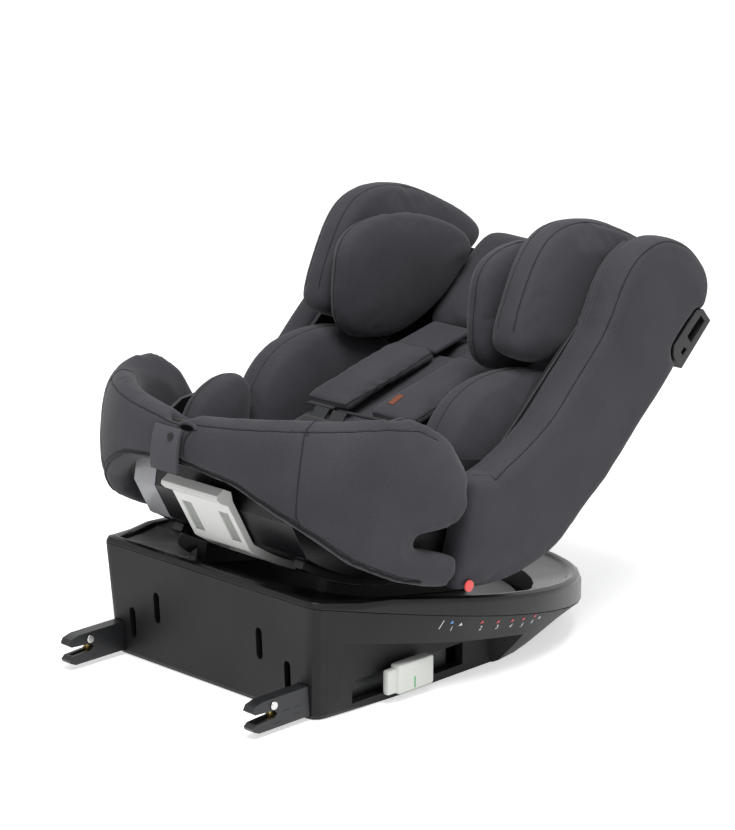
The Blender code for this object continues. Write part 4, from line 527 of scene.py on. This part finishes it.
def blow_up(pieces):
    """Run one cloth simulation for all pieces. pieces: {object: (pressure, most movement in mm)}."""
    starts = {}
    for piece, (pressure, _) in pieces.items():
        start = np.empty(len(piece.data.vertices) * 3)
        piece.data.vertices.foreach_get("co", start)
        starts[piece] = start.reshape(-1, 3)
        cloth = piece.modifiers.new("cover", "CLOTH")
        settings = cloth.settings
        settings.quality = 4
        settings.mass = 0.3
        settings.tension_stiffness = 12
        settings.compression_stiffness = 12
        settings.shear_stiffness = 6
        settings.bending_stiffness = 0.4
        settings.air_damping = 3
        settings.use_pressure = True
        settings.uniform_pressure_force = pressure
        settings.effector_weights.gravity = 0
        cloth.collision_settings.use_collision = False
        cloth.point_cache.frame_end = FRAMES
    for step in range(1, FRAMES + 1):
        scene.frame_set(step)
    graph = bpy.context.evaluated_depsgraph_get()
    for piece, (_, cap) in pieces.items():
        shown = piece.evaluated_get(graph).to_mesh()
        moved = np.empty(len(shown.vertices) * 3)
        shown.vertices.foreach_get("co", moved)
        shift = moved.reshape(-1, 3) - starts[piece]
        length = np.linalg.norm(shift, axis=1, keepdims=True)
        shift *= np.minimum(1, cap * MM / np.maximum(length, 1e-9))
        piece.evaluated_get(graph).to_mesh_clear()
        starts[piece] = starts[piece] + shift
    for piece in pieces:
        piece.modifiers.clear()
        piece.data.vertices.foreach_set("co", starts[piece].ravel())
        piece.data.update()
    scene.frame_set(1)


# %% [markdown]
# The padded pieces, each with its cloth, how often it is relaxed, its pressure, the most it may move in
# millimetres, and how full it is.

# %% Make the padded pieces
SINGLE_PADS = {
    "front_cover": (cover_cloth, 4, 2.0, 2.5, 0.8),
    "seat_cushion": (inner_cloth, 6, 4.0, 5.0, 0.7),
    "back_cushion": (inner_cloth, 5, 4.0, 5.0, 0.7),
    "infant_insert": (inner_cloth, 5, 4.0, 5.0, 0.7),
    "headrest_pad": (inner_cloth, 5, 4.0, 5.0, 0.7),
}
PAIRED_PADS = {
    "side_cover": (cover_cloth, 4, 2.0, 2.5, 0.8),
    "torso_bolster": (inner_cloth, 5, 4.0, 4.0, 0.75),
    "hip_bolster": (inner_cloth, 5, 4.0, 4.0, 0.75),
    "shoulder_pad": (inner_cloth, 4, 6.0, 4.0, 0.6),
    "headrest_wing": (inner_cloth, 5, 4.0, 4.0, 0.8),
    "head_insert": (inner_cloth, 5, 4.0, 4.0, 0.75),
}
ALL_PADS = SINGLE_PADS | PAIRED_PADS
pads = {}
inflated = {}
for label, (cloth, relax, pressure, cap, _) in ALL_PADS.items():
    node = label if label in SINGLE_PADS else f"{label}_right"
    pads[node] = place_piece(f"{node}_cover", even_skin(node, relax), cloth, ALL_SMOOTH)
    inflated[pads[node]] = (pressure, cap)
blow_up(inflated)
print(len(pads), "padded pieces,", sum(len(p.data.vertices) for p in pads.values()), "points")

# %% [markdown]
# ## Seams
# A seam pulls the cloth in along a line. Each line is a run of points on the cover; the mesh sinks
# along it and stores how near each point is, for the finish to draw the stitching furrow. The covers were
# drawn in the tilted frame of the turntable, so their seams are given there too, in millimetres.

# %% Deck frame
DECK_HEIGHT = 97.5
DECK_TILT = math.radians(10)


def deck(x, y, z):
    """Row-frame point, in metres, from millimetres in the tilted frame of the turntable."""
    return Vector(
        (
            x * MM,
            (y * math.cos(DECK_TILT) + z * math.sin(DECK_TILT)) * MM,
            (DECK_HEIGHT - y * math.sin(DECK_TILT) + z * math.cos(DECK_TILT)) * MM,
        )
    )


# %% Sew lines into a cover
SEAM_REACH = 7 * MM
SEAM_STEP = 1.0 * MM
SEAM_DEPTH = 1.4
seams = {}


def sew(piece, lines, depth_mm=SEAM_DEPTH):
    """Sink a cover along lines of row-frame points and store how near each of its points is."""
    samples = []
    for line in lines:
        for first, second in zip(line, line[1:]):
            steps = max(2, int((second - first).length / SEAM_STEP))
            samples += [first.lerp(second, i / steps) for i in range(steps)]
    tree = KDTree(len(samples))
    for i, sample in enumerate(samples):
        tree.insert(sample, i)
    tree.balance()
    mesh = piece.data
    near = np.zeros(len(mesh.vertices), dtype=np.float32)
    for vertex in mesh.vertices:
        distance = tree.find(vertex.co)[2]
        near[vertex.index] = max(0.0, 1 - distance / SEAM_REACH)
    normals = [v.normal.copy() for v in mesh.vertices]
    for vertex, normal in zip(mesh.vertices, normals):
        share = near[vertex.index]
        if share:
            vertex.co -= normal * depth_mm * MM * share * share
    layer = mesh.attributes.get("seam_near") or mesh.attributes.new("seam_near", "FLOAT", "POINT")
    layer.data.foreach_set("value", near)
    mesh.update()
    seams.setdefault(piece, []).extend(lines)


def on_surface(piece, points):
    """The nearest points of a piece's surface."""
    found = []
    for point in points:
        hit, place, _, _ = piece.closest_point_on_mesh(point)
        found.append(place if hit else point)
    return found


# %% Seams of the covers
def along_outline(piece, outline, x):
    """Seam round a piece: (y, z) points of the turntable frame, at one distance from the middle."""
    return on_surface(piece, [deck(x, y, z) for y, z in outline])


SIDE_SEAM = ((-37, 121), (-20, 138), (-2, 152), (38, 185), (69, 224), (107, 277), (128, 328))
SIDE_SEAM += ((149, 355), (184, 371), (224, 366), (254, 348))
WING_SEAM = ((27, 264), (33, 296), (44, 332), (60, 360), (84, 377), (116, 384), (152, 383))
WING_SEAM += ((188, 377), (226, 367))
TORSO_SEAM = ((-42, 78), (-57, 130), (-46, 170), (-16, 202), (35, 220), (88, 222), (130, 214))
HIP_SEAM = ((-146, 92), (-152, 124), (-132, 156), (-96, 173), (-68, 160), (-64, 112))
INSERT_SEAM = ((48, 217), (26, 240), (19, 290), (22, 322), (46, 344), (84, 355), (130, 358))
INSERT_SEAM += ((176, 352), (216, 339))
SIDE_SEAM_X = 213
SIDE_HOOK = ((213, -37, 121), (208, -41, 124), (202, -48, 124), (197, -53, 121))
side_cover = pads["side_cover_right"]
side_hook = on_surface(side_cover, [deck(*point) for point in SIDE_HOOK])
sew(side_cover, [along_outline(side_cover, SIDE_SEAM, SIDE_SEAM_X), side_hook])
# Each of the other pairs has an outline, the distances from the middle that it is sewn at, and a depth.
PAIR_SEAMS = {
    "headrest_wing": (WING_SEAM, (133, 155), SEAM_DEPTH),
    "torso_bolster": (TORSO_SEAM, (136,), SEAM_DEPTH),
    "hip_bolster": (HIP_SEAM, (132,), SEAM_DEPTH),
    "head_insert": (INSERT_SEAM, (104,), 1.0),
}
for label, (outline, places, depth) in PAIR_SEAMS.items():
    piece = pads[f"{label}_right"]
    sew(piece, [along_outline(piece, outline, x) for x in places], depth)

# %% Seam round the shoulder pads
PAD_FOOT = (-28, 151)
PAD_LEAN = math.atan2(55, 122)
PAD_ROUND = ((26, 0), (70, 0), (79, 3), (82, 12), (82, 74), (82, 136), (79, 145), (70, 148))
PAD_ROUND += ((26, 148), (17, 145), (14, 136), (14, 74), (14, 12), (17, 3), (26, 0))
PAD_SEAM_RISE = 5
PAD_SEAM_DEPTH = 0.8


def pad_point(across, along, rise):
    """Point of the right shoulder pad, in mm: across the seat, up the pad and off its middle."""
    y = PAD_FOOT[0] + along * math.cos(PAD_LEAN) - rise * math.sin(PAD_LEAN)
    z = PAD_FOOT[1] + along * math.sin(PAD_LEAN) + rise * math.cos(PAD_LEAN)
    return deck(across, y, z)


shoulder_pad = pads["shoulder_pad_right"]
pad_round = [pad_point(across, along, PAD_SEAM_RISE) for across, along in PAD_ROUND]
sew(shoulder_pad, [on_surface(shoulder_pad, pad_round)], PAD_SEAM_DEPTH)

# %% Seams of the apron
APRON_CENTRE = -65
APRON_REACH = 227
APRON_HALF_WIDTH = 217
APRON_POWER = 2.6
APRON_TOP = ((0, 156), (20, 165), (40, 177), (58, 186), (68, 186), (73, 179), (80, 166))
APRON_TOP += ((84, 154), (87, 136))
APRON_HEM = ((0, 104), (21, 93), (40, 58), (54, 28), (68, 12), (81, 6), (88, 6))
TOP_SEAM_SHIFT = -9
HEM_SEAM_SHIFT = 5
BINDING_SHIFT = 1
PANEL_X, PANEL_Y = 154, -262
PANEL_HEIGHTS = range(52, 176, 4)
ROLL_FOOT = 168
ROLL_STEPS = range(0, 56, 4)


def apron_line(table, shift):
    """Line round the apron's outer face, a shift above the heights in a table by heading in degrees."""
    line = []
    for step in range(-80, 81, 2):
        angle = math.radians(90 - abs(step))
        x = APRON_HALF_WIDTH * math.cos(angle) ** (2 / APRON_POWER)
        reach = APRON_REACH * math.sin(angle) ** (2 / APRON_POWER)
        heading = math.degrees(math.atan2(x, reach))
        height = np.interp(heading, [h for h, _ in table], [z for _, z in table])
        line.append(deck(math.copysign(x, step), APRON_CENTRE - reach, height + shift))
    return line


apron = pads["front_cover"]
apron_lines = [apron_line(APRON_TOP, TOP_SEAM_SHIFT), apron_line(APRON_HEM, HEM_SEAM_SHIFT)]
for side in (-1, 1):
    apron_lines.append([deck(side * PANEL_X, PANEL_Y, z) for z in PANEL_HEIGHTS])
sew(apron, [on_surface(apron, line) for line in apron_lines])
# Over the roll the panel seams are thread only, because sinking them there makes lumps.
for side in (-1, 1):
    over_roll = []
    for step in ROLL_STEPS:
        over_roll.append(deck(side * (PANEL_X - 0.4 * step), PANEL_Y + step, ROLL_FOOT + 0.6 * step))
    seams[apron].append(on_surface(apron, over_roll))
print("seams sewn")

# %% [markdown]
# ## Threads, binding and left-hand pads
# A seam shows as a dark thread in its furrow, and the apron's lower edge is bound with tape. Both are thin
# tubes laid on the covers. The left pads are mirrored copies of the right ones, and then every pad's skin
# is made finer.

# %% Tubes along lines
def mirrored(piece, name):
    mesh = piece.data.copy()
    mesh.transform(Matrix.Scale(-1, 4, (1, 0, 0)))
    mesh.flip_normals()
    twin = bpy.data.objects.new(name, mesh)
    scene.collection.objects.link(twin)
    return twin


def mesh_of(holder):
    """A bmesh of a curve or text as it shows; the object itself is removed."""
    scene.collection.objects.link(holder)
    graph = bpy.context.evaluated_depsgraph_get()
    mesh = bpy.data.meshes.new_from_object(holder.evaluated_get(graph))
    bpy.data.objects.remove(holder)
    form = bmesh.new()
    form.from_mesh(mesh)
    bpy.data.meshes.remove(mesh)
    return form


def tube(name, line, piece, radius, rounding=1):
    """A round thread, binding or roll along a line of points, laid on a cover if one is given."""
    curve = bpy.data.curves.new(name, "CURVE")
    curve.dimensions = "3D"
    curve.bevel_depth = radius
    curve.bevel_resolution = rounding
    curve.use_fill_caps = True
    run = curve.splines.new("POLY")
    places = on_surface(piece, line) if piece else line
    run.points.add(len(places) - 1)
    for point, place in zip(run.points, places):
        point.co = (*place, 1)
    return mesh_of(bpy.data.objects.new(name, curve))


def finer(line, steps=8):
    """The same line with more points, on a smooth curve through the first ones."""
    places = np.array([tuple(p) for p in line])
    fine = np.linspace(0, len(places) - 1, (len(places) - 1) * steps + 1)
    before = places[np.maximum(fine.astype(int) - 1, 0)]
    start = places[np.minimum(fine.astype(int), len(places) - 1)]
    end = places[np.minimum(fine.astype(int) + 1, len(places) - 1)]
    after = places[np.minimum(fine.astype(int) + 2, len(places) - 1)]
    t = (fine - fine.astype(int))[:, None]
    curve = 2 * start + (end - before) * t + (2 * before - 5 * start + 4 * end - after) * t**2
    curve += (3 * start - before - 3 * end + after) * t**3
    return [Vector(p) for p in curve / 2]


# %% Seam threads
THREAD_RADIUS = 0.55 * MM
node_of = {piece: node for node, piece in pads.items()}
threads = 0
for piece, lines in seams.items():
    node = node_of[piece]
    names = (node, node.replace("_right", "_left")) if node.endswith("_right") else (node,)
    for number, line in enumerate(lines):
        form = tube(f"{node}_thread_{number}", finer(line), piece, THREAD_RADIUS)
        for name in names:
            made = form.copy()
            if name != node:
                bmesh.ops.scale(made, vec=(-1, 1, 1), verts=made.verts)
                bmesh.ops.reverse_faces(made, faces=made.faces)
            stitch = place_piece(f"{name}_thread_{number}", made, seam_thread, ALL_SMOOTH)
            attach(stitch, body_of[name])
            threads += 1
        form.free()
print(threads, "seam threads")

# %% Bound edge of the apron
BINDING_RADIUS = 1.7 * MM
bound_line = on_surface(apron, apron_line(APRON_HEM, BINDING_SHIFT))
binding_form = tube("front_cover_binding", bound_line, apron, BINDING_RADIUS)
binding = place_piece("front_cover_binding", binding_form, seam_thread, ALL_SMOOTH)
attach(binding, body_of["front_cover"])

# %% Mirror the pairs and finish the pads
for label in PAIRED_PADS:
    pads[f"{label}_left"] = mirrored(pads[f"{label}_right"], f"{label}_left_cover")
FILL = {label: look[-1] for label, look in ALL_PADS.items()}
for node, piece in pads.items():
    smooth = piece.modifiers.new("fine_skin", "SUBSURF")
    smooth.levels = 1
    smooth.render_levels = 1
    stand_for(piece, node)
    label = node if node in FILL else node.rsplit("_", 1)[0]
print("pads in place")

# %% [markdown]
# ## Harness webbing
# Webbing is a flat woven band with soft edges. Each strap is its solid with the edges rounded.

# %% Straps
STRAP_EDGE = 0.7
STRAP_ANGLE = 40
STRAPS = ["crotch_strap", "adjuster_strap"]
STRAPS += [f"{kind}_{side}" for kind in ("shoulder_strap", "lower_strap") for side in SIDES]
straps = {}
for node in STRAPS:
    form = copy_of(node)
    round_edges(form, sharp_edges(form, STRAP_ANGLE), STRAP_EDGE)
    tape = grey_tape if node == "adjuster_strap" else harness_webbing
    straps[node] = place_piece(f"{node}_webbing", form, tape)
    stand_for(straps[node], node)
print(len(STRAPS), "straps")

# %% [markdown]
# ### Pad sleeves
# Above each shoulder pad a sewn cloth sleeve hides the strap up to the headrest. It is the strap's own
# solid, made wider and thicker, so that it follows the strap.

# %% Sleeves of the shoulder pads
SLEEVE_SPREAD = 1.55
SLEEVE_SWELL = 2.6 * MM
SLEEVE_EDGE = 2.4
SLEEVE_SEGMENTS = 3
for side in SIDES:
    form = copy_of(f"shoulder_strap_{side}")
    low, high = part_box(f"shoulder_strap_{side}")
    middle = (low[0] + high[0]) / 2
    form.normal_update()
    for vertex in form.verts:
        flat = Vector((0, vertex.normal.y, vertex.normal.z)).normalized()
        vertex.co += flat * SLEEVE_SWELL
        vertex.co.x = middle + (vertex.co.x - middle) * SLEEVE_SPREAD
    round_edges(form, sharp_edges(form, STRAP_ANGLE), SLEEVE_EDGE, SLEEVE_SEGMENTS)
    sleeve = place_piece(f"shoulder_sleeve_{side}", form, inner_cloth)
    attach(sleeve, body_of[f"shoulder_strap_{side}"])
print("sleeves over both shoulder straps")

# %% [markdown]
# ## Prints on the base
# The recline steps are pad-printed on the base, where the red marker points: ink a few hundredths of a
# millimetre thick. Here each number and pointer is a thin sheet laid on the moulding.

# %% Inks
white_ink = moulded("white_ink", "#e8e8ea", "#e0e0e2", 0.5, 2.0, 0.0)
red_ink = moulded("red_ink", "#e2484c", "#d84044", 0.5, 2.0, 0.0)
blue_ink = moulded("blue_ink", "#6f9ae0", "#658fd6", 0.5, 2.0, 0.0)
green_ink = moulded("green_ink", "#3fae62", "#38a459", 0.5, 2.0, 0.0)

# %% Flat forms for printing
NUMBER_SIZE = 7.5 * MM
LINE_SIZE = 14 * MM
POINTER_RADIUS = 2.5 * MM
INK_LIFT = 0.3 * MM
BESIDE = 0.4


def number_form(text, size):
    """Flat outline of a number or a slanted line, centred."""
    curve = bpy.data.curves.new("number", "FONT")
    curve.body = text
    curve.size = size
    curve.align_x = "CENTER"
    curve.align_y = "CENTER"
    form = mesh_of(bpy.data.objects.new("number", curve))
    bmesh.ops.triangulate(form, faces=form.faces)
    return form


def pointer_form():
    """Flat triangle that points up."""
    form = bmesh.new()
    bmesh.ops.create_circle(form, cap_ends=True, segments=3, radius=POINTER_RADIUS)
    return form


def lay_on_base(form, side, y_mm, z_mm):
    """Lay a flat form on the base's side wall, read from outside."""
    wall = mouldings["base_housing"]
    for vertex in form.verts:
        start = Vector((side * BESIDE, y_mm * MM + side * vertex.co.x, z_mm * MM + vertex.co.y))
        hit, place, normal, _ = wall.ray_cast(start, Vector((-side, 0, 0)))
        if hit:
            vertex.co = place + normal * INK_LIFT


# %% Recline numbers and pointers
NUMBERS = (("1", -66, 74), ("2", -27, 66), ("3", -4, 62), ("4", 19, 57), ("5", 38, 53), ("6", 54, 53))
POINTERS = ((-68, 82, blue_ink), (-56, 77, white_ink), (-29, 74, red_ink), (-6, 69, red_ink))
POINTERS += ((16, 65, red_ink), (34, 62, red_ink), (52, 61, red_ink), (64, 55, white_ink))
PRINTS = [("line", "/", LINE_SIZE, -80, 81, white_ink)]
PRINTS += [(f"number_{text}", text, NUMBER_SIZE, y, z, white_ink) for text, y, z in NUMBERS]
PRINTS += [(f"pointer_{i}", None, 0, y, z, ink) for i, (y, z, ink) in enumerate(POINTERS, 1)]
for label, side in zip(SIDES, (-1, 1)):
    for name, text, size, y, z, ink in PRINTS:
        form = number_form(text, size) if text else pointer_form()
        lay_on_base(form, side, y, z)
        bmesh.ops.recalc_face_normals(form, faces=form.faces)
        outward = side * sum(f.normal.x for f in form.faces)
        if outward < 0:
            bmesh.ops.reverse_faces(form, faces=form.faces)
        mark = place_piece(f"recline_{name}_{label}", form, ink)
        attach(mark, "base")
print(2 * len(PRINTS), "prints")

# %% [markdown]
# ## Small marks and trim
# A green line on each release button shows when the arm is latched. The anchor arms have narrow pressed
# slots; the shade inside them is painted as dark blocks that stand a hair out of the steel, because the
# solids are left whole.

# %% Latch marks and pressed slots
LATCH_MARK = (0.5, 1.7, 12)
LATCH_MARK_PLACE = (179.05, -96, 18.5)
LATCH_MARK_EDGE = 0.15
SLOT_DEPTH = 0.3
SLOT_EDGE = 0.1
ARM_SLOTS = ((-248, 20.5, 10), (-258, 10.5, 9), (-232.5, 20.3, 8), (-233, 13.1, 7))
SLOT_WIDTH = 1.4


def small_block(size, place, edge):
    """A block with rounded edges; sizes and place in millimetres."""
    form = bmesh.new()
    bmesh.ops.create_cube(form, size=1)
    bmesh.ops.scale(form, vec=[c * MM for c in size], verts=form.verts)
    round_edges(form, form.edges[:], edge)
    bmesh.ops.translate(form, vec=[c * MM for c in place], verts=form.verts)
    return form


# Painted shade: near-black blocks stand in for the shade inside the pressed slots.
slot_shade = moulded("painted_slot_shade", "#0c0c0d", "#080809", 0.6, 1.0, 0.1)
for label, side in zip(SIDES, (-1, 1)):
    x, y, z = LATCH_MARK_PLACE
    form = small_block(LATCH_MARK, (side * x, y, z), LATCH_MARK_EDGE)
    mark = place_piece(f"latch_mark_{label}", form, green_ink)
    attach(mark, body_of[f"release_button_{label}"])
    low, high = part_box(f"anchor_arm_{label}")
    for number, (y, z, length) in enumerate(ARM_SLOTS):
        for face, x in (("inner", low[0]), ("outer", high[0])):
            form = small_block((SLOT_DEPTH, length, SLOT_WIDTH), (x / MM, y, z), SLOT_EDGE)
            slot = place_piece(f"arm_slot_{label}_{face}_{number}", form, slot_shade)
            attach(slot, body_of[f"anchor_arm_{label}"])
print("latch marks and pressed slots")

# %% [markdown]
# ### Front trim
# The pull tape comes out of a sewn mouth in the front of the apron's roll and carries a press stud. The
# mouth's dark opening is painted shade, a near-black lens under a rolled brow, and the dark line that runs
# down from it beside the tape is a welt darkened with painted shadow of the tape's edge.

# %% Press stud
STUD_PLACE = (8, 281)
STUD_RADIUS = 4.2 * MM
STUD_TOP = 0.8 * STUD_RADIUS
STUD_HEIGHT = 1.6 * MM
IN_FRONT = -0.5
bpy.context.view_layer.update()
start = Vector((STUD_PLACE[0] * MM, IN_FRONT, STUD_PLACE[1] * MM))
_, place, normal, _ = straps["adjuster_strap"].ray_cast(start, Vector((0, 1, 0)))
upright = normal.to_track_quat("Z", "Y").to_matrix().to_4x4()
stud_form = bmesh.new()
bmesh.ops.create_cone(
    stud_form,
    cap_ends=True,
    segments=28,
    radius1=STUD_RADIUS,
    radius2=STUD_TOP,
    depth=STUD_HEIGHT,
    matrix=Matrix.Translation(place + normal * STUD_HEIGHT / 2) @ upright,
)
stud = place_piece("adjuster_press_stud", stud_form, rubber)
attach(stud, body_of["adjuster_strap"])
print("stud at", [round(c / MM) for c in place])

# %% Tape mouth
MOUTH_CENTRE = (22, -262, 291)
MOUTH_HALF = (11, 3.4)
MOUTH_TILT = math.radians(72)
BROW_RADIUS = 2.4 * MM
WELT_SHADOW = ((32, -260, 290), (26, -262, 285), (22, -263, 279), (20, -265, 270), (20, -265, 261))
WELT_SHADOW_RADIUS = 0.8 * MM
MOUTH_LIFT = 0.5
MOUTH_POINTS = 32
BROW_GROW = 1.0
BROW_POINTS = 24
CAST_MM = 40


def mouth_point(angle, grow, rise):
    """Point of the tape mouth's outline on the apron, grown and raised in millimetres."""
    u = (MOUTH_HALF[0] + grow) * math.cos(angle)
    v = (MOUTH_HALF[1] + grow) * math.sin(angle)
    out = Vector((0, -math.sin(MOUTH_TILT), math.cos(MOUTH_TILT)))
    up = Vector((0, math.cos(MOUTH_TILT), math.sin(MOUTH_TILT)))
    start = (Vector(MOUTH_CENTRE) + Vector((u, 0, 0)) + up * v + out * CAST_MM) * MM
    hit, place, _, _ = apron.ray_cast(start, -out)
    return (place if hit else start - out * CAST_MM * MM) + out * rise * MM


# Painted shade: the mouth's opening is a near-black sheet with almost no gloss.
mouth_shade = moulded("painted_mouth_shade", "#060607", "#040405", 0.9, 1.2, 0.2, ior=1.12)
mouth_form = bmesh.new()
turns = [math.tau * i / MOUTH_POINTS for i in range(MOUTH_POINTS)]
rim = [mouth_form.verts.new(mouth_point(angle, 0, MOUTH_LIFT)) for angle in turns]
centre = mouth_form.verts.new(mouth_point(0, -MOUTH_HALF[0], MOUTH_LIFT))
for first, second in zip(rim, rim[1:] + rim[:1]):
    mouth_form.faces.new((first, second, centre))
mouth = place_piece("adjuster_mouth", mouth_form, mouth_shade, ALL_SMOOTH)
half_turns = [math.pi * i / BROW_POINTS for i in range(BROW_POINTS + 1)]
brow_line = [mouth_point(angle, BROW_GROW, MOUTH_LIFT) for angle in half_turns]
brow_form = tube("adjuster_brow", brow_line, apron, BROW_RADIUS)
brow = place_piece("adjuster_brow", brow_form, cover_cloth, ALL_SMOOTH)
# Painted shadow: the welt is a near-black thread tube that also stands for the shadow of the tape's edge.
welt_shadow_form = tube("adjuster_welt_shadow", finer([Vector(p) * MM for p in WELT_SHADOW]), apron, WELT_SHADOW_RADIUS)
welt_shadow = place_piece("adjuster_welt_shadow", welt_shadow_form, seam_thread, ALL_SMOOTH)
for trim, kind in ((mouth, "webbing"), (brow, "cover_fabric"), (welt_shadow, "webbing")):
    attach(trim, body_of["front_cover"])
print("mouth of", len(mouth.data.polygons), "faces")

# %% [markdown]
# ### Side hems
# Each side cover is turned over the edge of the seat shell. Its hem is a soft roll of the same cloth that
# fills the valley between the shell's wall and the cover.

# %% Side hems
HEM_CAST = 178.5 * MM
HEM_MIDDLE = 175.0 * MM
HEM_SINK = 4 * MM
HEM_RADIUS = 5.5 * MM
HEM_ROUNDING = 3
HEM_RUN = range(-16, 232, 6)
ABOVE = 0.8
hem_line = []
for y in HEM_RUN:
    hit, place, _, _ = side_cover.ray_cast(Vector((HEM_CAST, y * MM, ABOVE)), Vector((0, 0, -1)))
    if hit:
        hem_line.append(Vector((HEM_MIDDLE, place.y, place.z - HEM_SINK)))
for label, side in zip(SIDES, (-1, 1)):
    line = [Vector((side * p.x, p.y, p.z)) for p in hem_line]
    form = tube("side_hem", line, None, HEM_RADIUS, HEM_ROUNDING)
    hem = place_piece(f"side_hem_{label}", form, cover_cloth, ALL_SMOOTH)
    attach(hem, body_of[f"side_cover_{label}"])
print(len(hem_line), "points along each hem")

# %% [markdown]
# ### Keel cheek
# The keel's left front corner shows a lighter grey strip and its right none. This painted reflection is a
# thin lighter grey skin over the keel's own corner.

# %% Keel cheek
CHEEK_INNER = -86 * MM
CHEEK_REAR = -185 * MM
CHEEK_SKIN = 0.7 * MM
CHEEK_THICKNESS = 0.8 * CHEEK_SKIN
CHEEK_FACING = -0.2
# Painted reflection: lighter grey on the left corner only, where the glossy keel catches the light.
cheek_reflection = moulded("painted_reflection_grey", "#a3a3a6", "#8e8e92", 0.3, 1.6, 0.08)
form = copy_of("keel")
for place, keep in (((CHEEK_INNER, 0, 0), (-1, 0, 0)), ((0, CHEEK_REAR, 0), (0, -1, 0))):
    everything = form.verts[:] + form.edges[:] + form.faces[:]
    bmesh.ops.bisect_plane(form, geom=everything, plane_co=place, plane_no=keep, clear_inner=True)
form.normal_update()
bmesh.ops.delete(form, geom=[f for f in form.faces if f.normal.y > CHEEK_FACING], context="FACES")
form.normal_update()
for vertex in form.verts:
    vertex.co += vertex.normal * CHEEK_SKIN
bmesh.ops.solidify(form, geom=form.faces[:], thickness=CHEEK_THICKNESS)
cheek = place_piece("keel_cheek", form, cheek_reflection)
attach(cheek, body_of["keel"])
print("cheek of", len(cheek.data.polygons), "faces")

# %% [markdown]
# ### Lever pockets
# The two shallow pockets of the lever are a darker grey, partly painted shade, because they hold shade,
# and partly a coarser grain. Each gets its own finish on a sheet that lies on the pocket's floor.

# %% Lever pockets
POCKET_FROM = 19.9 * MM
POCKET_TO = 35.1 * MM
POCKET_LIFT = 0.2 * MM
POCKET_FACING = -0.3


def in_pocket(face, side):
    """Whether a face of the lever is part of one pocket's floor."""
    across = [side * vertex.co.x for vertex in face.verts]
    return face.normal.y < POCKET_FACING and POCKET_FROM < min(across) and max(across) < POCKET_TO


# Painted shade and grain: the grey is darker than the lever for the shade in the pockets, and rougher for
# their grain.
pocket_shade_and_grain = moulded("grained_grey_abs_painted_shade", "#a2a49f", "#92948f", 0.5, 1.0, 0.3)
for label, side in zip(SIDES, (-1, 1)):
    form = copy_of("recline_lever")
    form.normal_update()
    bmesh.ops.delete(form, geom=[f for f in form.faces if not in_pocket(f, side)], context="FACES")
    form.normal_update()
    for vertex in form.verts:
        vertex.co += vertex.normal * POCKET_LIFT
    pocket = place_piece(f"lever_pocket_{label}", form, pocket_shade_and_grain)
    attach(pocket, body_of["recline_lever"])
    print("pocket", label, "of", len(pocket.data.polygons), "faces")

# %% [markdown]
# ### Leather tag
# A small brown leather tag is sewn flat on one shoulder pad. It follows the pad's skin and carries no text.

# %% Leather tag
TAG_LENGTH = 18
TAG_WIDTH = 8
TAG_THICKNESS = 0.8 * MM
TAG_PLACE = (37, 27)
tag_leather = moulded("brown_leather", "#7c4128", "#64331f", 0.6, 1.1, 0.5)
bpy.context.view_layer.update()
tag_form = bmesh.new()
bmesh.ops.create_grid(tag_form, x_segments=6, y_segments=12, size=0.5)
down = pad_point(0, 0, 0) - pad_point(0, 0, 1)
for vertex in tag_form.verts:
    across = TAG_PLACE[0] + vertex.co.x * TAG_WIDTH
    along = TAG_PLACE[1] + vertex.co.y * TAG_LENGTH
    _, place, normal, _ = shoulder_pad.ray_cast(pad_point(across, along, CAST_MM), down)
    vertex.co = place + normal * TAG_THICKNESS
bmesh.ops.recalc_face_normals(tag_form, faces=tag_form.faces)
if tag_form.faces[:][0].normal.z < 0:
    bmesh.ops.reverse_faces(tag_form, faces=tag_form.faces)
bmesh.ops.solidify(tag_form, geom=tag_form.faces[:], thickness=TAG_THICKNESS)
tag = place_piece("shoulder_pad_tag", tag_form, tag_leather)
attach(tag, "seat")
print("tag sewn on")
